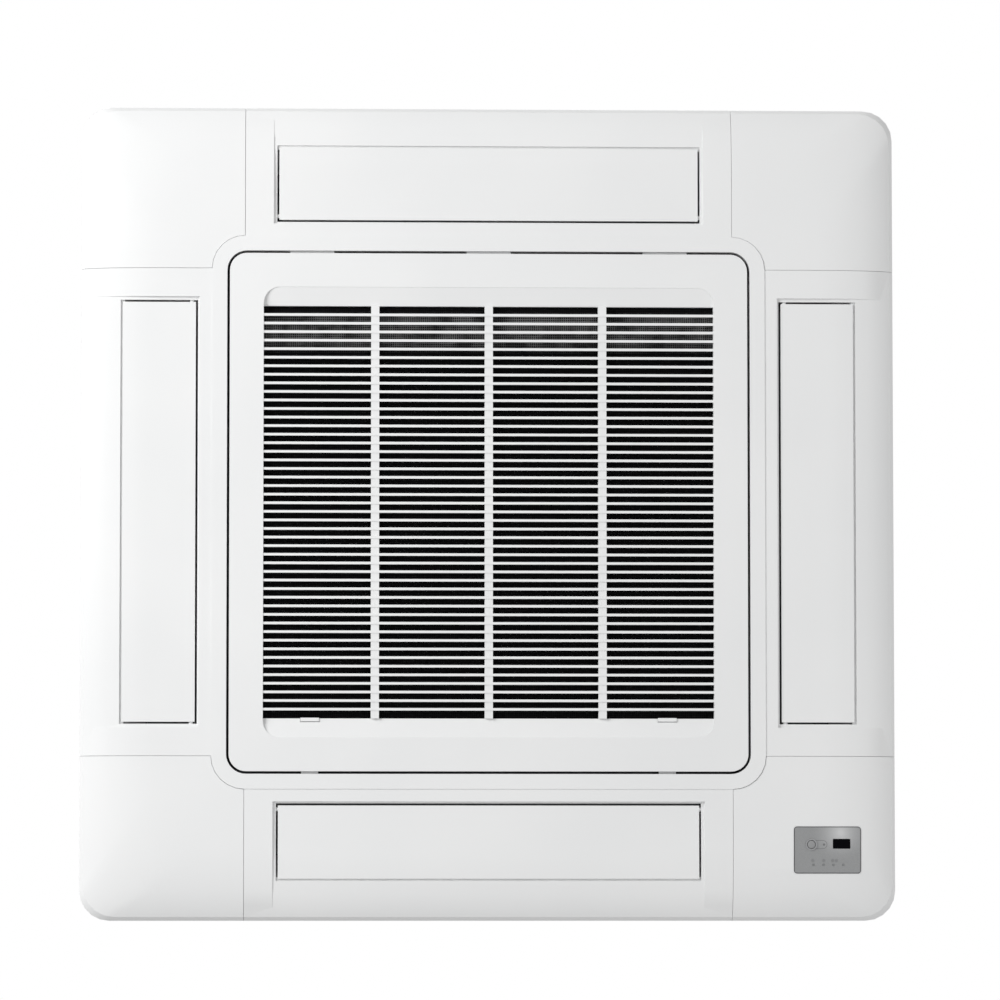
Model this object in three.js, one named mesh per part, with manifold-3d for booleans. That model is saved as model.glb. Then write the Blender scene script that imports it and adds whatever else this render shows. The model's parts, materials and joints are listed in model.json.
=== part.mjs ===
// Ceiling cassette air conditioner with four outlets.
//
// Millimetres, +Z up, as it hangs in a room: z = 0 is the ceiling plane, with the fascia below it and the
// body above. The origin is the middle of the fascia in that plane. The front is -Y, where the intake grille
// is hinged; its latches are at the back, +Y. The four sides are one design, turned about Z by 90 degrees.

import * as THREE from 'three';
import * as BufferGeometryUtils from 'three/addons/utils/BufferGeometryUtils.js';
import Module from 'manifold-3d';

const wasm = await Module();
wasm.setup();

// ---------------------------------------------------------------- driving dimensions

const fit = 0.3; // gap between pieces that touch
const runningGap = 0.3; // radial gap of a pin that turns in a plastic hole
const cutOver = 5; // how far a cutting tool reaches past the surface it cuts
const cornerSegments = 4; // pairs of straight pieces in each round corner of the fascia and the grille
const weldDistance = 0.002; // points of a finished piece that are closer than this become one

// Fascia, counted outward from the grille
const grilleHalf = 302; // half of the square intake grille
const grilleCorner = 20;
const grilleGap = 3; // dark line round the grille
const ringWidth = 17.5; // raised band round the grille
const ringCorner = 38.5; // outer corner radius of that band
const ringRise = 1; // how far band and grille stand below the flat face
const ringToOutlet = 16.5;
const outletWidth = 90;
const outletMargin = 46; // outlet to the fascia's edge
const outletEndMargin = 37; // outlet's end to the corner cover
const fasciaCorner = 35;
const crownWidth = 87; // band along the edge that curves up to the rim
const crownRoundness = 0.4; // growth of the corner radius per mm inward from the rim
const faceDepth = 36; // ceiling plane down to the flat face
const rimDepth = 12; // ceiling plane down to the lower edge of the rim
const fasciaWall = 3;
const ribWall = 2.5;
const ribCount = 3; // ribs across each hollow behind the fascia
const cornerPlate = 5; // back plate over each corner cover
const sealRecess = 0.5; // step down in the fascia's back where the body's seal lies on it
const seamGap = 0.4; // visible seam round each corner cover
const ledgeWidth = 15; // ledge that laps over the grille's edge
const ledgeHeight = 22; // ceiling plane down to the underside of that ledge
const ledgeWall = 3;

// Outlets and louvers
const scoopDepth = 3.5; // recess round each louver
const scoopMargin = 4; // visible ledge at each end of a louver
const scoopLap = 2; // the same along the inner edge
const louverGap = 2.5; // between louver and outlet, inner and outer edge
const louverEndGap = 2.3;
const louverThick = 3.4;
const pivotInset = 4.5; // louver's inner edge to its axis
const pivotRise = 4; // louver's face to its axis
const pivotRadius = 2.5;
const pivotHub = 3.4; // half height of the louver round its axis
const pivotLength = 8.3; // how far the pivot pins stand out of the louver's ends
const endWall = 7; // wall between outlet and motor pocket
const motorRadius = 12;
const motorLength = 18;
const motorOffset = 8; // motor axis above its off-centre shaft
const motorFlange = 2.2;
const motorFlangeHalf = 14.5;
const motorFlangeHeight = 7;

// Intake grille
const grilleBorder = 39.5; // flat frame round the window
const grilleThick = 6.5;
const grilleDepth = 12.5; // from the face to the back of the inner walls
const windowCorner = 19;
const windowWall = 3.5;
const stripWidth = 21.9; // sloping strips along the two slat-side edges of the window
const stripDrop = 6; // how deep those strips fall
const stripReveal = 0.4; // small step where they start at the window's edge
const stripInset = 0.6; // top of the strips below the back of the walls
const slatCount = 47;
const slatPitch = 10;
const slatWidth = 3.2;
const slatDepth = 9;
const slatInset = 1; // slats behind the grille's face
const ribSpacing = 132.5;
const grilleRibWidth = 9.5;
const grilleRibInset = 2; // ribs behind the grille's face
const hingeSpacing = 206;
const hingeTabWidth = 51.5;
const hingeInset = 2.2; // grille's edge to the hinge axis
const hingeRise = 3.5; // grille's face to the hinge axis
const hingePinRadius = 1;
const hingePinGrip = 8; // pin length in the grille beyond each side of a tab
const hingeEye = 1.7;
const hingeSkin = 1; // face left in front of the slots for the tabs
const hingeBoreGap = 0.1;
const latchSpacing = 208;
const latchWidth = 20;
const latchThick = 3;
const latchKnobWidth = 21.7;
const latchKnobDepth = 4;
const latchBite = 2.5; // how far a latch reaches into the fascia
const latchTravel = 5;
const filterHalf = 264.5;
const filterThick = 5;
const filterBar = 8;
const filterRib = 3;
const filterCells = 4;
const filterSheet = 0.8;

// Receiver module in one corner cover
const moduleCentre = [394, 393];
const moduleSize = [78, 54];
const moduleCorner = 3.5;
const moduleProud = 0.6;
const moduleThick = 3;
const moduleLedge = 6; // how far the cover's ledge reaches under the plate
const modulePad = 3; // width of the thick rim round the plate
const padThick = 6;
const windowSize = [20, 11];
const windowOffset = [16.4, -7.2];
const windowThick = 2;
const buttonOffset = [-18.9, -6.3];
const buttonRadius = 4.8;
const buttonRingRadius = 6.7;
const buttonTravel = 1.5;
const buttonStem = 3; // how far the button stands out behind the plate
const indicatorCount = 4;
const indicatorPitch = 11.6;
const indicatorRadius = 1.2;
const indicatorOffset = [1, 17.2]; // middle of the row
const lensRise = 3.4; // back of the plate to the light bar
const boardSize = [70, 50];
const boardShift = 4; // board's middle, from the module's towards the fascia's
const boardThick = 1.6;
const boardHeight = 25.5; // ceiling plane down to the board's underside

// Body above the ceiling
const bodyOverlap = 55; // how far the fascia reaches past the body
const bodyBottom = 1;
const bodyHeight = 243;
const sheet = 1.5; // sheet steel
const casingFlange = 10;
const casingCornerFlange = 24;
const casingTopFlange = 12;
const beadDepth = 1.5;
const beadHeight = 10;
const topBeadRise = 4;
const beadWidth = 12;
const beadInset = 110; // body's side to the square bead on the top plate
const beadCorner = 50; // outer corner radius of that bead
const motorBeadRadius = 150; // round bead above the motor
const spokeBeadHalf = 7; // half width of the beads that join the two
const linerThick = 12;
const panHeight = 55;
const panWall = 22; // outlet duct to the body's outside
const ductInset = 3; // the ducts narrow above the fascia by this much
const troughDepth = 38;
const troughMargin = [6, 4]; // room in the trough inside and outside the coil
const coilThick = 36;
const coilToDuct = 8;
const coilCorner = 110;
const coilCut = 109; // how far the coil stays open at its pipe corner
const panLip = 22; // coil to the pan's opening
const panOpeningCorner = 40;
const sealMargin = 14;

// Air path
const bellPlateLap = 9.5; // bell-mouth plate under the pan's lip
const bellPlateHeight = 9.5;
const bellPlateThick = 2.2;
const flareRadius = 214;
const throatRadius = 180;
const throatHeight = 66;
const flareHeight = 45;
const fanRadius = 232;
const shroudInlet = 187;
const shroudBottom = 62;
const shroudRise = 42;
const fanTop = 198.5;
const fanSkin = 2.5;
const fanSides = 24; // flat sides that stand in for each of the fan's circles
const bladeCount = 7;
const bladeInner = 132;
const bladeThick = 7;
const bladeSweep = 38; // degrees that a blade leans back from root to tip
const bladeStart = 5; // degrees from +X to the first blade's root
const domeRadius = [110, 78]; // inside the hub dome, top and bottom
const domeBottom = 121.5;
const hubRadius = 14;
const hubBottom = 105;
const shaftRadius = 5;
const motorBodyRadius = 70;
const fanMotorBottom = 130;
const fanMotorHeight = 84;
const carrierRadii = [16, 66, 104, 132]; // bore, motor seat, upper bend and rim of the motor's carrier
const carrierSheet = 2.5;
const carrierBend = 1.5; // how far the carrier's inner bends lie inside its outer ones
const carrierWindow = [84, 13]; // place and radius of the four holes in its slope

// Services
const rodInset = [60, 160]; // body's width less the pitch of the suspension rods, along X and along Y
const rodSlot = [12, 22]; // width and length of each bracket's slot
const bracketWidth = 50;
const bracketHeight = 90;
const bracketReach = 38;
const bracketSheet = 2.5;
const bracketFoot = 110; // height of the foot above the ceiling plane
const serviceShift = 46; // pipes and drain, sideways from the middle of their corner face
const gasRadius = 7.94;
const liquidRadius = 4.76;
const gasHeight = 150;
const liquidHeight = 192;
const pipeReach = 34.6; // pipe ends, out from the corner face
const gasNut = [14.5, 24]; // across-flats half and length
const liquidNut = [11, 19];
const coverPlateSize = [78, 104];
const drainRadius = 16;
const drainBore = 13;
const drainHeight = 195;
const drainReach = 36;
const pumpRadius = 24;
const floatHeight = 14;
const floatTravel = 10;
const floatArmRise = 52; // highest float to the end of its stem
const glandRadius = 8.7;
const glandPlace = [225, 120]; // along the side and up
const freshAirRadius = 62;
const freshAirHeight = 140;
const controlHalf = 150; // half length of the control box
const boardBlocks = [ // x, y, half sizes along X and Y, depth
  [-112, 0, 17, 15, 21], [70, -10, 11, 8, 3], [112, -8, 14, 3, 18],
];
const boardCapacitors = [[-78, -8, 9, 20], [-78, 13, 7, 18], [-56, 12, 7, 18]]; // x, y, radius, depth
const controlDepth = 54; // its width
const controlBottom = -13;
const controlTop = 26;
const screwRadius = 2.5;
const screwPlace = 340;

// Sizes that follow
const openingHalf = grilleHalf + grilleGap;
const openingCorner = grilleCorner + grilleGap;
const ringHalf = openingHalf + ringWidth;
const outletInner = ringHalf + ringToOutlet;
const outletOuter = outletInner + outletWidth;
const fasciaHalf = outletOuter + outletMargin;
const crownStart = fasciaHalf - crownWidth;
const coverInner = ringHalf - ringCorner;
const outletHalfLength = coverInner - outletEndMargin;
const bodyHalf = fasciaHalf - bodyOverlap;
const rodPitch = rodInset.map((inset) => 2 * bodyHalf - inset);
const bodyCut = bodyHalf - coverInner + 4;
const bodyTop = bodyBottom + bodyHeight;
const panBottom = bodyBottom + sheet + fit;
const panTop = panBottom + panHeight;
const ductInner = outletInner + ductInset;
const ductOuter = bodyHalf - panWall;
const coilOuter = ductInner - coilToDuct;
const coilInner = coilOuter - coilThick;
const panOpening = coilInner - panLip;
const troughFloor = panTop - troughDepth;
const grilleFace = -faceDepth - ringRise;
const grilleBack = grilleFace + grilleDepth;
const windowHalf = grilleHalf - grilleBorder;
const slatField = windowHalf - stripWidth;
const hingeAxis = { y: -(grilleHalf - hingeInset), z: grilleFace + hingeRise };

// ---------------------------------------------------------------- solids

/** Six times the signed volume of a triangle soup: negative when its faces point inwards. */
function turnedVolume(points, triangles) {
  const [a, b, c] = [new THREE.Vector3(), new THREE.Vector3(), new THREE.Vector3()];
  let volume = 0;
  for (let i = 0; i < triangles.length; i += 3) {
    a.fromArray(points, 3 * triangles[i]);
    b.fromArray(points, 3 * triangles[i + 1]);
    c.fromArray(points, 3 * triangles[i + 2]);
    volume += a.dot(b.cross(c));
  }
  return volume;
}

let sideTurn = 0; // angle about Z that every new solid is turned by

/** Merges points that lie together and drops the triangles that this leaves without an area. */
function welded(geometry, distance) {
  const merged = BufferGeometryUtils.mergeVertices(geometry, distance);
  const corners = merged.getIndex().array;
  const triangles = [];
  for (let i = 0; i < corners.length; i += 3) {
    const [a, b, c] = corners.slice(i, i + 3);
    if (a !== b && b !== c && c !== a) triangles.push(a, b, c);
  }
  return { points: merged.getAttribute('position').array, triangles };
}

/** A closed three.js geometry as a solid that can be joined and cut. */
function solid(geometry) {
  const bare = geometry.clone().rotateZ(sideTurn);
  bare.deleteAttribute('normal');
  bare.deleteAttribute('uv');
  const { points, triangles } = welded(bare, 1e-4);
  if (turnedVolume(points, triangles) < 0) triangles.reverse();
  const vertProperties = new Float32Array(points);
  const triVerts = new Uint32Array(triangles);
  return new wasm.Manifold(new wasm.Mesh({ numProp: 3, vertProperties, triVerts }));
}

/** A solid back as a three.js geometry. */
function geometryOf(body) {
  const mesh = body.getMesh();
  const cut = new THREE.BufferGeometry();
  cut.setAttribute('position', new THREE.BufferAttribute(mesh.vertProperties, 3));
  cut.setIndex(new THREE.BufferAttribute(mesh.triVerts, 1));
  const { points, triangles } = welded(cut, weldDistance);
  const geometry = new THREE.BufferGeometry();
  geometry.setAttribute('position', new THREE.BufferAttribute(points, 3));
  geometry.setIndex(triangles);
  geometry.computeVertexNormals();
  return geometry;
}

const join = (bodies) => bodies.reduce((whole, body) => whole.add(body));
const cut = (body, tools) => tools.reduce((rest, tool) => rest.subtract(tool), body);

/** A block between two values along X, Y and Z. */
function block([x0, x1], [y0, y1], [z0, z1]) {
  const geometry = new THREE.BoxGeometry(x1 - x0, y1 - y0, z1 - z0);
  return solid(geometry.translate((x0 + x1) / 2, (y0 + y1) / 2, (z0 + z1) / 2));
}

/** An outline in the XY plane, extruded from z0 to z1. */
function plate(shape, [z0, z1], curveSegments = 3) {
  const geometry = new THREE.ExtrudeGeometry(shape, { depth: z1 - z0, bevelEnabled: false, curveSegments });
  return solid(geometry.translate(0, 0, z0));
}

/** An outline of [y, z] points, extruded along X from x0 to x1. */
function bar(points, [x0, x1]) {
  const shape = new THREE.Shape(points.map(([y, z]) => new THREE.Vector2(y, z)));
  const geometry = new THREE.ExtrudeGeometry(shape, { depth: x1 - x0, bevelEnabled: false });
  const turn = new THREE.Matrix4().makeBasis(
    new THREE.Vector3(0, 1, 0),
    new THREE.Vector3(0, 0, 1),
    new THREE.Vector3(1, 0, 0),
  );
  return solid(geometry.applyMatrix4(turn).translate(x0, 0, 0));
}

/** A rectangle with round corners, as a shape. */
function roundedShape(halfX, halfY, radius, [cx, cy] = [0, 0]) {
  const shape = new THREE.Shape();
  shape.moveTo(cx + halfX, cy + halfY - radius);
  shape.absarc(cx + halfX - radius, cy + halfY - radius, radius, 0, Math.PI / 2);
  shape.absarc(cx - halfX + radius, cy + halfY - radius, radius, Math.PI / 2, Math.PI);
  shape.absarc(cx - halfX + radius, cy - halfY + radius, radius, Math.PI, 1.5 * Math.PI);
  shape.absarc(cx + halfX - radius, cy - halfY + radius, radius, 1.5 * Math.PI, 2 * Math.PI);
  return shape;
}

const roundedPlate = (half, radius, heights) => plate(
  roundedShape(half, half, radius), heights, cornerSegments);

/** The body's eight-sided outline, a distance inside its outer skin. */
function bodyShape(inset) {
  const half = bodyHalf - inset;
  const straight = half - bodyCut + inset * (2 - Math.SQRT2);
  const corners = [[half, straight], [straight, half], [-straight, half], [-half, straight]];
  const opposite = corners.map(([x, y]) => [-x, -y]);
  return new THREE.Shape([...corners, ...opposite].map(([x, y]) => new THREE.Vector2(x, y)));
}

const bodyPlate = (inset, heights) => plate(bodyShape(inset), heights);

/** A solid of revolution about Z from a closed outline of [radius, z] points. */
function turned(points, sides = 20, [cx, cy] = [0, 0]) {
  const outline = [...points, points[0]].map(([r, z]) => new THREE.Vector2(r, z));
  const geometry = new THREE.LatheGeometry(outline, sides);
  return solid(geometry.rotateX(Math.PI / 2).translate(cx, cy, 0));
}

const disc = (radius, heights, centre, sides) => turned(
  [[0, heights[0]], [radius, heights[0]], [radius, heights[1]], [0, heights[1]]], sides, centre);

/** A round bar along X, Y or Z between two values, with the other two coordinates given in order. */
function rod(along, radius, [from, to], [u, v], sides = 12) {
  const geometry = new THREE.CylinderGeometry(radius, radius, to - from, sides);
  const middle = (from + to) / 2;
  if (along === 'x') geometry.rotateZ(Math.PI / 2).translate(middle, u, v);
  if (along === 'y') geometry.translate(u, middle, v);
  if (along === 'z') geometry.rotateX(Math.PI / 2).translate(u, v, middle);
  return solid(geometry);
}

/** The radius of a round hole whose flat sides all stay outside the given radius. */
const clearBore = (radius, sides = 12) => radius / Math.cos(Math.PI / sides);

/** A round tube or bar along a curve. */
function swept(curve, radius, steps, sides = 8) {
  const section = new THREE.Shape();
  section.absarc(0, 0, radius, 0, 2 * Math.PI);
  const settings = { steps, extrudePath: curve, bevelEnabled: false, curveSegments: sides / 2 };
  return solid(new THREE.ExtrudeGeometry(section, settings));
}

/** Builds a list of solids for the front, right, back and left side in turn. */
function onFourSides(build) {
  const bodies = [];
  for (let quarter = 0; quarter < 4; quarter += 1) {
    sideTurn = quarter * Math.PI / 2;
    bodies.push(...build());
  }
  sideTurn = 0;
  return bodies;
}

/** Stacked squares with round corners, each [half, radius, z], as one closed body. */
function squareLoft(stations, arcSteps = 5) {
  const levels = [[0, 0, stations[0][2]], ...stations, [0, 0, stations.at(-1)[2]]];
  const perCorner = arcSteps + 1;
  const columns = 4 * perCorner;
  const outline = levels.map(([half, , z]) => new THREE.Vector2(half, z));
  const geometry = new THREE.LatheGeometry(outline, columns);
  const points = geometry.getAttribute('position');
  for (let column = 0; column <= columns; column += 1) {
    const corner = Math.floor(column / perCorner) % 4;
    const middle = Math.PI / 4 + corner * Math.PI / 2;
    const angle = corner * Math.PI / 2 + (column % perCorner) / arcSteps * Math.PI / 2;
    levels.forEach(([half, radius, z], level) => {
      const centre = (half - radius) * Math.SQRT2;
      const x = centre * Math.cos(middle) + radius * Math.cos(angle);
      const y = centre * Math.sin(middle) + radius * Math.sin(angle);
      points.setXYZ(column * levels.length + level, x, y, z);
    });
  }
  return solid(geometry);
}

// ---------------------------------------------------------------- fascia surface

/** How far the fascia's face is below the ceiling plane, at a distance from the middle line. */
function crownDepth(out) {
  const share = THREE.MathUtils.clamp((out - crownStart) / crownWidth, 0, 1);
  return rimDepth + (faceDepth - rimDepth) * Math.sqrt(1 - share * share);
}

/** The whole fascia as a block under a crowned face, moved inwards by an inset all round. */
function crownSolid(inset, top = 0) {
  const steps = 5;
  const stations = [];
  for (let i = 0; i <= steps; i += 1) {
    const out = crownStart + crownWidth * Math.sin((i / steps) * Math.PI / 2);
    const radius = fasciaCorner + (fasciaHalf - out) * crownRoundness;
    stations.push([out - inset, Math.max(radius - inset, 1), inset - crownDepth(out)]);
  }
  stations.push([fasciaHalf - inset, Math.max(fasciaCorner - inset, 1), top]);
  return squareLoft(stations);
}

/** A skin that follows the crowned face between two insets. */
const crownSkin = (outer, inner) => crownSolid(outer).subtract(crownSolid(inner, cutOver));

/** The height of the shallow recess round a louver, which runs out before the rim. */
function scoopHeight(out) {
  const scoopEnd = fasciaHalf - crownWidth * 0.15;
  const share = THREE.MathUtils.clamp((out - crownStart) / (scoopEnd - crownStart), 0, 1);
  return scoopDepth * (1 - share) - crownDepth(out);
}

/** Points of that recess between two distances from the middle line, as [y, z] of the front side. */
function scoopLine(from, to, steps = 7) {
  const points = [];
  for (let i = 0; i <= steps; i += 1) {
    const out = from + (to - from) * i / steps;
    points.push([-out, scoopHeight(out)]);
  }
  return points;
}

// ---------------------------------------------------------------- fascia

const below = grilleFace - 4 * cutOver; // under everything
const pivot = { y: -(outletInner + louverGap + pivotInset), z: scoopHeight(outletInner) + pivotRise };
const louverHalfLength = outletHalfLength - louverEndGap;
const motorSeat = outletHalfLength + endWall + fit;
const ductThroat = pivot.z - 0.5; // below this height the outlets have straight walls
const hingeLugRise = 3.4; // hinge axis to the underside of the lugs
const latchHeights = [grilleFace + grilleThick + fit, grilleFace + grilleThick + fit + latchThick];

/** Distance of the slanting outer duct wall from the middle line. */
const ductSlant = (z) => outletOuter + (ductOuter - outletOuter) * (z - ductThroat) / -ductThroat;

/** The corner of the fascia that a cover takes up, moved inwards by a margin. */
function cornerSpace(margin, top) {
  const edge = [coverInner + margin, fasciaHalf + cutOver];
  const ringEnd = disc(ringCorner + margin, [below - 1, cutOver + 1], [coverInner, coverInner], 24);
  return block(edge, edge, [below, top]).subtract(ringEnd);
}

function outletCuts() {
  const scoopEnd = fasciaHalf - crownWidth * 0.15;
  const scoopStart = outletInner - scoopLap;
  const scoop = [...scoopLine(scoopStart, scoopEnd), [-scoopEnd, below], [-scoopStart, below]];
  const duct = [
    [-outletInner, below], [-outletOuter, below], [-outletOuter, ductThroat],
    [-ductSlant(cutOver), cutOver], [-ductInner, cutOver], [-outletInner, ductThroat],
  ];
  const holeEnd = outletHalfLength + endWall + 1;
  const length = outletHalfLength + scoopMargin;
  return [
    bar(scoop, [-length, length]),
    bar(duct, [-outletHalfLength, outletHalfLength]),
    rod('x', clearBore(pivotRadius + runningGap), [-holeEnd, holeEnd], [pivot.y, pivot.z]),
  ];
}

/** The spaces behind one side of the fascia, with ribs left standing between them. */
function sideHollows() {
  const end = coverInner - fasciaWall;
  const outer = [
    [-ductSlant(ductThroat) - ribWall, below], [-ductSlant(ductThroat) - ribWall, ductThroat],
    [-ductSlant(cutOver) - ribWall, cutOver], [-fasciaHalf, cutOver], [-fasciaHalf, below],
  ];
  const wallTop = ledgeWall - ledgeHeight;
  const inner = [
    [-openingHalf - fasciaWall, below], [-outletInner + scoopLap + ribWall, below],
    [-outletInner + scoopLap + ribWall, cutOver], [-openingHalf + ledgeWidth - ledgeWall, cutOver],
    [-openingHalf + ledgeWidth - ledgeWall, wallTop], [-openingHalf - fasciaWall, wallTop],
  ];
  const ribs = [];
  for (let i = 1; i <= ribCount; i += 1) {
    const x = -end + 2 * end * i / (ribCount + 1);
    const width = [x - ribWall / 2, x + ribWall / 2];
    ribs.push(block(width, [-fasciaHalf, -openingHalf + ledgeWidth + cutOver], [below, cutOver]));
  }
  const long = join([bar(outer, [-end, end]), bar(inner, [-end, end])]);
  const pocketEdge = [-fasciaHalf, pivot.y + motorFlangeHalf + 0.5];
  const pocketStart = outletHalfLength + endWall;
  const pockets = [1, -1].map((side) => {
    const ends = [side * pocketStart, side * end].sort((a, b) => a - b);
    return block(ends, pocketEdge, [below, cutOver]);
  });
  return [join([cut(long, ribs), ...pockets])];
}

function hingeLugs() {
  return hingePlaces().map((x) => {
    const width = [x - hingeTabWidth / 2, x + hingeTabWidth / 2];
    const eye = [hingeAxis.y - hingeEye, hingeAxis.y + hingeEye];
    const lugBottom = hingeAxis.z + hingeLugRise;
    return join([
      block(width, [-openingHalf - 1, eye[1]], [lugBottom, 1 - ledgeHeight]),
      block(width, eye, [hingeAxis.z, lugBottom + 1]),
      rod('x', hingeEye, width, [hingeAxis.y, hingeAxis.z], 16),
    ]);
  });
}

function hingePlaces() {
  return [-hingeSpacing, 0, hingeSpacing];
}

function latchPlaces() {
  return [-latchSpacing, latchSpacing];
}

function panelFrame() {
  const ring = roundedPlate(ringHalf, ringCorner, [grilleFace, 1 - faceDepth]);
  const ledgeHalf = openingHalf - ledgeWidth;
  const hollows = crownSolid(fasciaWall, cutOver).intersect(join(onFourSides(sideHollows)));
  const corners = onFourSides(() => [cornerSpace(0, -cornerPlate)]);
  const screwHoles = onFourSides(() => [rod('z', 3, [-2 * cornerPlate, cutOver], [screwPlace, screwPlace])]);
  const hingeBore = clearBore(hingePinRadius + hingeBoreGap);
  const boreEnd = hingeSpacing + hingeTabWidth;
  const latchSlots = latchPlaces().map((x) => block(
    [x - latchWidth / 2 - 2 * fit, x + latchWidth / 2 + 2 * fit],
    [openingHalf - 1, openingHalf + fasciaWall + 1],
    [latchHeights[0] - fit, latchHeights[1] + 2 * fit],
  ));
  const frame = cut(crownSolid(0).add(ring), [
    roundedPlate(openingHalf, openingCorner, [below, -ledgeHeight]),
    roundedPlate(ledgeHalf, openingCorner - ledgeWidth + 1, [-ledgeHeight - 1, cutOver]),
    hollows,
    ...onFourSides(outletCuts),
    ...corners,
    ...screwHoles,
    ...latchSlots,
    bodyPlate(-1, [-sealRecess, cutOver]),
  ]);
  const bore = rod('x', hingeBore, [-boreEnd, boreEnd], [hingeAxis.y, hingeAxis.z]);
  return frame.add(join(hingeLugs()).subtract(bore));
}

/** A corner cover, drawn for the +X +Y corner. */
function cornerCover() {
  const skin = crownSolid(0).intersect(cornerSpace(seamGap, -cornerPlate - fit));
  const inside = crownSolid(fasciaWall, cutOver).intersect(cornerSpace(seamGap + fasciaWall, cutOver));
  return skin.subtract(inside);
}

const [moduleX, moduleY] = moduleCentre;
const modulePlate = (grow, heights, centre = moduleCentre) => plate(roundedShape(
  moduleSize[0] / 2 + grow, moduleSize[1] / 2 + grow, Math.max(moduleCorner + grow, 1), centre), heights);
const everyHeight = [below, cutOver];
const boardCentre = [moduleX - boardShift, moduleY - boardShift];
const boardHeights = [-boardHeight, -boardHeight + boardThick];

/** The corner cover that holds the receiver module. */
function displayCover() {
  const pad = crownSkin(fasciaWall - 1, padThick).intersect(modulePlate(modulePad, everyHeight));
  const wellSkin = crownSkin(-1 - moduleProud, moduleThick - moduleProud + fit);
  const well = wellSkin.intersect(modulePlate(fit, everyHeight));
  const posts = [-1, 1].flatMap((i) => [-1, 1].map((j) => {
    const place = [boardCentre[0] + i * (boardSize[0] / 2 - 3), boardCentre[1] + j * (boardSize[1] / 2 - 3)];
    return rod('z', 2.5, [-faceDepth + padThick - 1, -boardHeight - fit], place, 8);
  }));
  return cut(join([cornerCover(), pad, ...posts]), [well, modulePlate(-moduleLedge, everyHeight)]);
}

const indicatorPlaces = () => Array.from({ length: indicatorCount }, (_, i) => [
  moduleX + indicatorOffset[0] + (i - (indicatorCount - 1) / 2) * indicatorPitch,
  moduleY + indicatorOffset[1],
]);
const buttonPlace = [moduleX + buttonOffset[0], moduleY + buttonOffset[1]];
const windowPlace = [moduleX + windowOffset[0], moduleY + windowOffset[1]];
const windowPlate = (grow) => plate(roundedShape(
  windowSize[0] / 2 + grow, windowSize[1] / 2 + grow, 1, windowPlace), everyHeight);

function displayPlate() {
  const blank = crownSkin(-moduleProud, moduleThick - moduleProud).intersect(modulePlate(0, everyHeight));
  const ring = disc(buttonRingRadius, [-faceDepth - moduleProud - 0.5, 1 - faceDepth], buttonPlace);
  const glassWell = crownSkin(-cutOver, windowThick - moduleProud + fit).intersect(windowPlate(fit));
  const lightHoles = indicatorPlaces().map((place) => rod('z', indicatorRadius + fit, everyHeight, place, 8));
  const buttonHole = disc(buttonRadius + fit, everyHeight, buttonPlace);
  return cut(blank.add(ring), [glassWell, windowPlate(-1.5), buttonHole, ...lightHoles]);
}

const displayWindow = () => crownSkin(-moduleProud, windowThick - moduleProud).intersect(windowPlate(0));

const plateBack = moduleThick - moduleProud - faceDepth;

function runButton() {
  const crown = -faceDepth - moduleProud;
  return turned([
    [0, crown - 1.1], [buttonRadius * 0.5, crown - 1],
    [buttonRadius * 0.85, crown - 0.6], [buttonRadius, crown],
    [buttonRadius, plateBack + 0.9], [buttonRadius + 1.2, plateBack + 0.9],
    [buttonRadius + 1.2, plateBack + 1.7], [buttonRadius * 0.6, plateBack + 1.7],
    [buttonRadius * 0.6, plateBack + buttonStem], [0, plateBack + buttonStem],
  ], 16, buttonPlace);
}

function displayBoard() {
  const board = plate(roundedShape(boardSize[0] / 2, boardSize[1] / 2, 1, boardCentre), boardHeights);
  const [bx, by] = buttonPlace;
  const switchHeights = [plateBack + buttonStem + buttonTravel + 2 * fit, -boardHeight + 0.5];
  const button = block([bx - 3, bx + 3], [by - 3, by + 3], switchHeights);
  const [wx, wy] = windowPlace;
  const receiver = block([wx - 5, wx + 5], [wy - 3.5, wy + 3.5], [-boardHeight - 4, -boardHeight + 0.5]);
  const plugHeights = [boardHeights[1] - 0.5, boardHeights[1] + 6];
  const plug = block([moduleX + 14, moduleX + 24], [moduleY - 8, moduleY + 8], plugHeights);
  return join([board, button, receiver, plug]);
}

/** A clear bar behind the plate with one stub for each indicator. */
function indicatorLens() {
  const places = indicatorPlaces();
  const [first, last] = [places[0], places.at(-1)];
  const light = plateBack + lensRise;
  const spine = block([first[0] - 2, last[0] + 2], [first[1] - 1.7, first[1] + 1.7], [light, light + 2]);
  const stubs = join(places.map((place) => rod('z', indicatorRadius, [below, light + 1], place, 8)));
  return spine.add(stubs.intersect(crownSolid(0.2 - moduleProud)));
}

function panelScrew() {
  const head = -cornerPlate - fit;
  return turned([
    [0, head - 1.2], [1.2, head - 1.2], [2, head - 3.4], [4.2, head - 3.2], [5.5, head - 1.8], [5.5, head],
    [screwRadius, head], [screwRadius, bodyBottom + 15], [0, bodyBottom + 16.5],
  ], 8, [screwPlace, screwPlace]);
}

function panelSeal() {
  const band = bodyPlate(sealMargin, [fit - sealRecess, panBottom - fit]);
  const inner = roundedPlate(openingHalf - ledgeWidth, 4, [-1, panBottom]);
  const ducts = onFourSides(() => [block(
    [-outletHalfLength, outletHalfLength], [-ductSlant(0), -ductInner], [-1, panBottom])]);
  const gussetRoom = bodyCorners.map((corner) => atCorner(corner, () => block(
    [-bodyCut, bodyCut], [cornerFace - casingCornerFlange - 2 * fit, 2 * cornerFace], [-1, panBottom])));
  return cut(band, [inner, ...ducts, ...gussetRoom]);
}

// ---------------------------------------------------------------- louvers and their motors

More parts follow.
